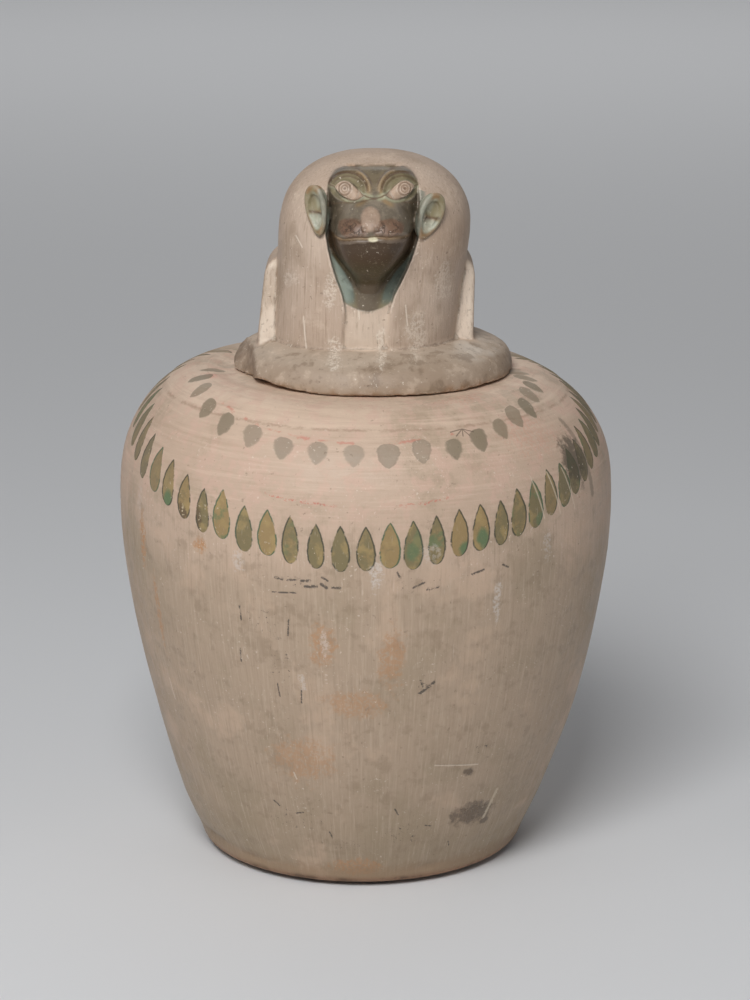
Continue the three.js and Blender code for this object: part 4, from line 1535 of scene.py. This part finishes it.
def finish_jar():
    """The jar's material."""
    material, tree, shader = new_material("painted_pottery")
    place, radius, degrees, along, wall, point = jar_place(tree)
    clay = use(tree, CLAY, {"Place": place})
    lines = use(tree, STRIATIONS, {"Place": wall})
    brushed = noise(vector_maths(tree, "MULTIPLY", wall, (0.05, 0.05, 1.0)), 0.42, 4.0, 0.65)
    wobble = noise(wall, 0.28, 3.0, 0.6) - 0.5
    fine = noise(wall, 0.5, 3.0, 0.7)
    upper = soft(along, 122.0, 92.0)
    layers = jar_ground(tree, along, clay, lines, brushed, wobble, upper)
    paint_red_traces(layers, degrees, along, wall, wobble)
    paint_small_drops(layers, degrees, radius, along, wobble)
    drops = paint_big_drops(layers, degrees, radius, along, wall, wobble)
    paint_patches(layers, point, fine)
    stain = paint_stain(layers, point)
    ink = paint_ink(layers, point, wall, fine)
    scores = paint_scores(layers, point)
    bare = jar_wear(layers, along, clay, lines, wobble, upper)
    plug(tree, shader.inputs["Base Color"], layers.colour)
    dullness = soft(clay["Cloud"], 0.40, 0.62) * 0.16 + drops * 0.06 + bare * 0.2 + upper * 0.04 - stain * 0.2
    plug(tree, shader.inputs["Roughness"], dullness + 0.46)
    height = clay["Height"] * 0.55 + lines["Streaks"] * (1.0 - upper) * 0.08 + brushed * upper * 0.12
    height = height + drops * 0.05 - ink * 0.06 - scores * 0.15 + wobble * 0.2
    add_bump(tree, shader, height)
    return material


# ---------- the lid's finish ----------

SCUFF = tint(226, 214, 198)
CUT = tint(232, 220, 204)
CURL = tint(58, 44, 34)
LID_SHADE = tint(150, 128, 106)
LID_LIGHT = tint(212, 192, 172)
LID_STREAK_SHADE = tint(138, 114, 92)
LID_STREAK_LIGHT = tint(216, 198, 180)
DISC_SHADE = tint(120, 100, 80)
PAINT_SHADE = tint(60, 54, 44)
PAINT_RUBBED = tint(170, 158, 134)
PAINT_FLAKE = tint(214, 204, 186)
LID_DIRT = tint(98, 80, 62)
LID_DUST = tint(222, 208, 190)
LID_EDGE = tint(220, 202, 184)
LID_SPECK = tint(230, 218, 202)
LID_PIT = tint(104, 84, 66)

LID_SCUFFS = [  # sideways, height, half-sizes, raggedness and strength of the pale scuffs
    (-18.0, 312.0, 5.0, 9.0, 1.0, 1.0), (9.0, 316.0, 3.0, 10.0, 1.0, 1.0), (29.0, 322.0, 6.0, 14.0, 1.0, 0.7),
    (-22.0, 346.0, 4.0, 12.0, 0.9, 0.8), (-46.0, 350.0, 7.0, 4.0, 1.0, 0.6),
    (43.0, 350.0, 6.0, 12.0, 1.0, 0.6)]
LID_CUTS = [  # sideways and height of both ends, then how broken the line is
    (-6.0, 346.0, -4.0, 330.0, 0.7), (22.0, 338.0, 24.0, 326.0, 0.7), (-36.0, 330.0, -34.0, 312.0, 0.8),
    (-44.0, 376.0, -40.0, 370.0, 0.6)]


def lid_marks(layers, point, wall, paint):
    """Pale scuffs and fine cuts on the wig and the disc. Gives the fine noise that breaks them up."""
    fine = noise(wall, 0.6, 3.0, 0.7)
    pale = most([patch(point, mark[0:2], mark[2:4], mark[4]) * mark[5] for mark in LID_SCUFFS])
    layers.lay(SCUFF, pale * soft(fine, 0.42, 0.58) * (1.0 - paint) * 0.7)
    cuts = most([stroke(point, line[0:2], line[2:4], 0.3, line[4]) for line in LID_CUTS])
    layers.lay(CUT, cuts * (1.0 - paint) * 0.6)
    return fine


def paint_whiskers(layers, point, place, paint):
    """Incised curls on both sides of the nose."""
    warped = noise(place, 0.20, 1.0, 0.5, 1.4)
    curls = soft(abs(warped - 0.5), 0.022, 0.008) + soft(abs(warped - 0.42), 0.018, 0.006)
    pads = most([patch(point, (side, 386.0), (8.6, 5.4), 0.25) for side in (-11.2, 8.4)])
    mark = curls * pads * paint
    layers.lay(CURL, mark * 0.75)
    return mark


def head_point(tree, place):
    """Sideways and height on the front of the head. The back is moved away, so no front mark shows there."""
    x, y, z = split(place)
    front = soft(y, -18.0, -26.0)
    leaning = soft(z, LEAN_FROM, LEAN_TO) * LEAN_MOST
    return vector(tree, (x - LID_X - leaning) * front + (1.0 - front) * 200.0, z, 0.0), soft(z, 311.0, 315.0)


def lid_clay(layers, clay, lines, bare, head):
    """Mottled clay, with burnishing lines on the head and darker clouds on the disc."""
    layers.lay(LID_SHADE, soft(clay["Mottle"], 0.50, 0.64) * bare * 0.45)
    layers.lay(LID_LIGHT, soft(clay["Cloud"], 0.52, 0.68) * bare * 0.40)
    layers.lay(LID_STREAK_SHADE, soft(lines["Streaks"], 0.46, 0.32) * bare * head * 0.38)
    layers.lay(LID_STREAK_LIGHT, soft(lines["Streaks"], 0.54, 0.68) * bare * head * 0.28)
    layers.lay(DISC_SHADE, soft(clay["Cloud"], 0.48, 0.36) * bare * (1.0 - head) * 0.5)


def lid_wear(layers, place, clay, dirt, wear, paint, bare):
    """Flaked paint, dirt in the creases, rubbed edges, specks and pits."""
    flakes = soft(noise(place, 0.38, 2.0, 0.6), 0.70, 0.74) * paint
    layers.lay(PAINT_FLAKE, flakes * 0.8)
    layers.lay(LID_DIRT, dirt["Dirt"] * (bare * 0.40 + 0.15))
    layers.lay(LID_DUST, dirt["Dust"] * 0.35 * (bare * 0.8 + 0.2))
    layers.lay(LID_EDGE, wear["Wear"] * (bare * 0.40 + 0.12))
    layers.lay(LID_SPECK, clay["Specks"] * (bare * 0.45 + 0.1))
    layers.lay(LID_PIT, clay["Pits"] * (bare * 0.30 + 0.15))


def finish_lid():
    """The lid's material."""
    material, tree, shader = new_material("lid_pottery")
    place = object_place(tree)
    clay = use(tree, CLAY, {"Place": place})
    lines = use(tree, STRIATIONS, {"Place": place})
    dirt = use(tree, DIRT, {"Place": place, "Crease": attribute(tree, "crease")})
    wear = use(tree, WEAR, {"Place": place, "Edge": attribute(tree, "edge")})
    paint, gloss = attribute(tree, "paint"), attribute(tree, "gloss")
    point, head = head_point(tree, place)
    wobble = noise(place, 0.28, 3.0, 0.6) - 0.5
    bare = 1.0 - paint
    layers = Layers(tree, attribute(tree, "colour", "Color"))
    lid_clay(layers, clay, lines, bare, head)
    fine = lid_marks(layers, point, place, paint)
    layers.lay(PAINT_SHADE, soft(clay["Cloud"], 0.50, 0.38) * paint * 0.35)
    layers.lay(PAINT_RUBBED, soft(fine, 0.56, 0.70) * paint * 0.28)
    squiggles = paint_whiskers(layers, point, place, paint)
    lid_wear(layers, place, clay, dirt, wear, paint, bare)
    plug(tree, shader.inputs["Base Color"], layers.colour)
    rough_clay = soft(clay["Cloud"], 0.40, 0.62) * 0.14 + 0.52
    plug(tree, shader.inputs["Roughness"], rough_clay - gloss * 0.26 + wobble * paint * 0.2)
    height = clay["Height"] * (bare * 0.55 + 0.22) + lines["Streaks"] * head * bare * 0.20
    height = height - squiggles * 0.35 + wear["Wear"] * 0.03 + wobble * 0.15
    add_bump(tree, shader, height)
    return material


# ---------- studio ----------

CAMERA_PLACE = (0.0055, -1.8, 0.681)
CAMERA_TILT = 75.33                        # degrees up from looking straight down
CAMERA_LENS, CAMERA_SENSOR = 111.96, 36
FLOOR_REACH = 30.0


def make_camera():
    """Looks down at the jar from the front, with little perspective."""
    camera = bpy.data.objects.new("camera", bpy.data.cameras.new("camera"))
    camera.location = CAMERA_PLACE
    camera.rotation_euler = (math.radians(CAMERA_TILT), 0, 0)
    camera.data.lens = CAMERA_LENS
    camera.data.sensor_width = CAMERA_SENSOR
    bpy.context.scene.collection.objects.link(camera)
    bpy.context.scene.camera = camera


def area_light(name, place, aim, size, watts):
    data = bpy.data.lights.new(name, "AREA")
    data.shape = "RECTANGLE"
    data.size, data.size_y = size
    data.energy = watts
    lamp = bpy.data.objects.new(name, data)
    lamp.location = place
    lamp.rotation_euler = (Vector(aim) - Vector(place)).to_track_quat("-Z", "Y").to_euler()
    bpy.context.scene.collection.objects.link(lamp)


def make_floor():
    """A wide pale floor that also fills the background."""
    mesh = bpy.data.meshes.new("floor")
    corners = [(-FLOOR_REACH, -FLOOR_REACH, 0), (FLOOR_REACH, -FLOOR_REACH, 0),
               (FLOOR_REACH, FLOOR_REACH, 0), (-FLOOR_REACH, FLOOR_REACH, 0)]
    mesh.from_pydata(corners, [], [(0, 1, 2, 3)])
    floor = bpy.data.objects.new("floor", mesh)
    bpy.context.scene.collection.objects.link(floor)
    paint = bpy.data.materials.new("floor paint")
    paint.use_nodes = True
    bsdf = paint.node_tree.nodes["Principled BSDF"]
    bsdf.inputs["Base Color"].default_value = (0.72, 0.73, 0.745, 1)
    bsdf.inputs["Roughness"].default_value = 0.9
    mesh.materials.append(paint)


def make_lights():
    """A soft key from above, two weak side lights and one that brightens the far floor."""
    aim = (0, 0, 0.25)
    area_light("key", (-0.42, -1.75, 1.9), aim, (1.1, 0.9), 46)
    area_light("left", (-2.0, -0.9, 1.0), aim, (1.2, 1.6), 4.5)
    area_light("right", (2.0, -0.9, 1.0), aim, (1.2, 1.6), 2.5)
    area_light("backdrop", (0, 4.5, 3.0), (0, 4.5, 0), (6.0, 3.0), 66)


def make_world():
    """Even grey light from all round."""
    world = bpy.data.worlds.new("studio")
    world.use_nodes = True
    background = world.node_tree.nodes["Background"]
    background.inputs["Color"].default_value = (0.5, 0.5, 0.51, 1)
    background.inputs["Strength"].default_value = 0.28
    bpy.context.scene.world = world
    bpy.context.scene.view_settings.view_transform = "Standard"


def place_piece(piece, material, node):
    """Gives a piece its material and puts it in the CAD node's place."""
    piece.data.materials.append(material)
    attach(piece, "root")
    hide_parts(node)


make_camera()
make_floor()
make_lights()
make_world()
place_piece(make_jar(), finish_jar(), "jar")
place_piece(make_lid(), finish_lid(), "lid")
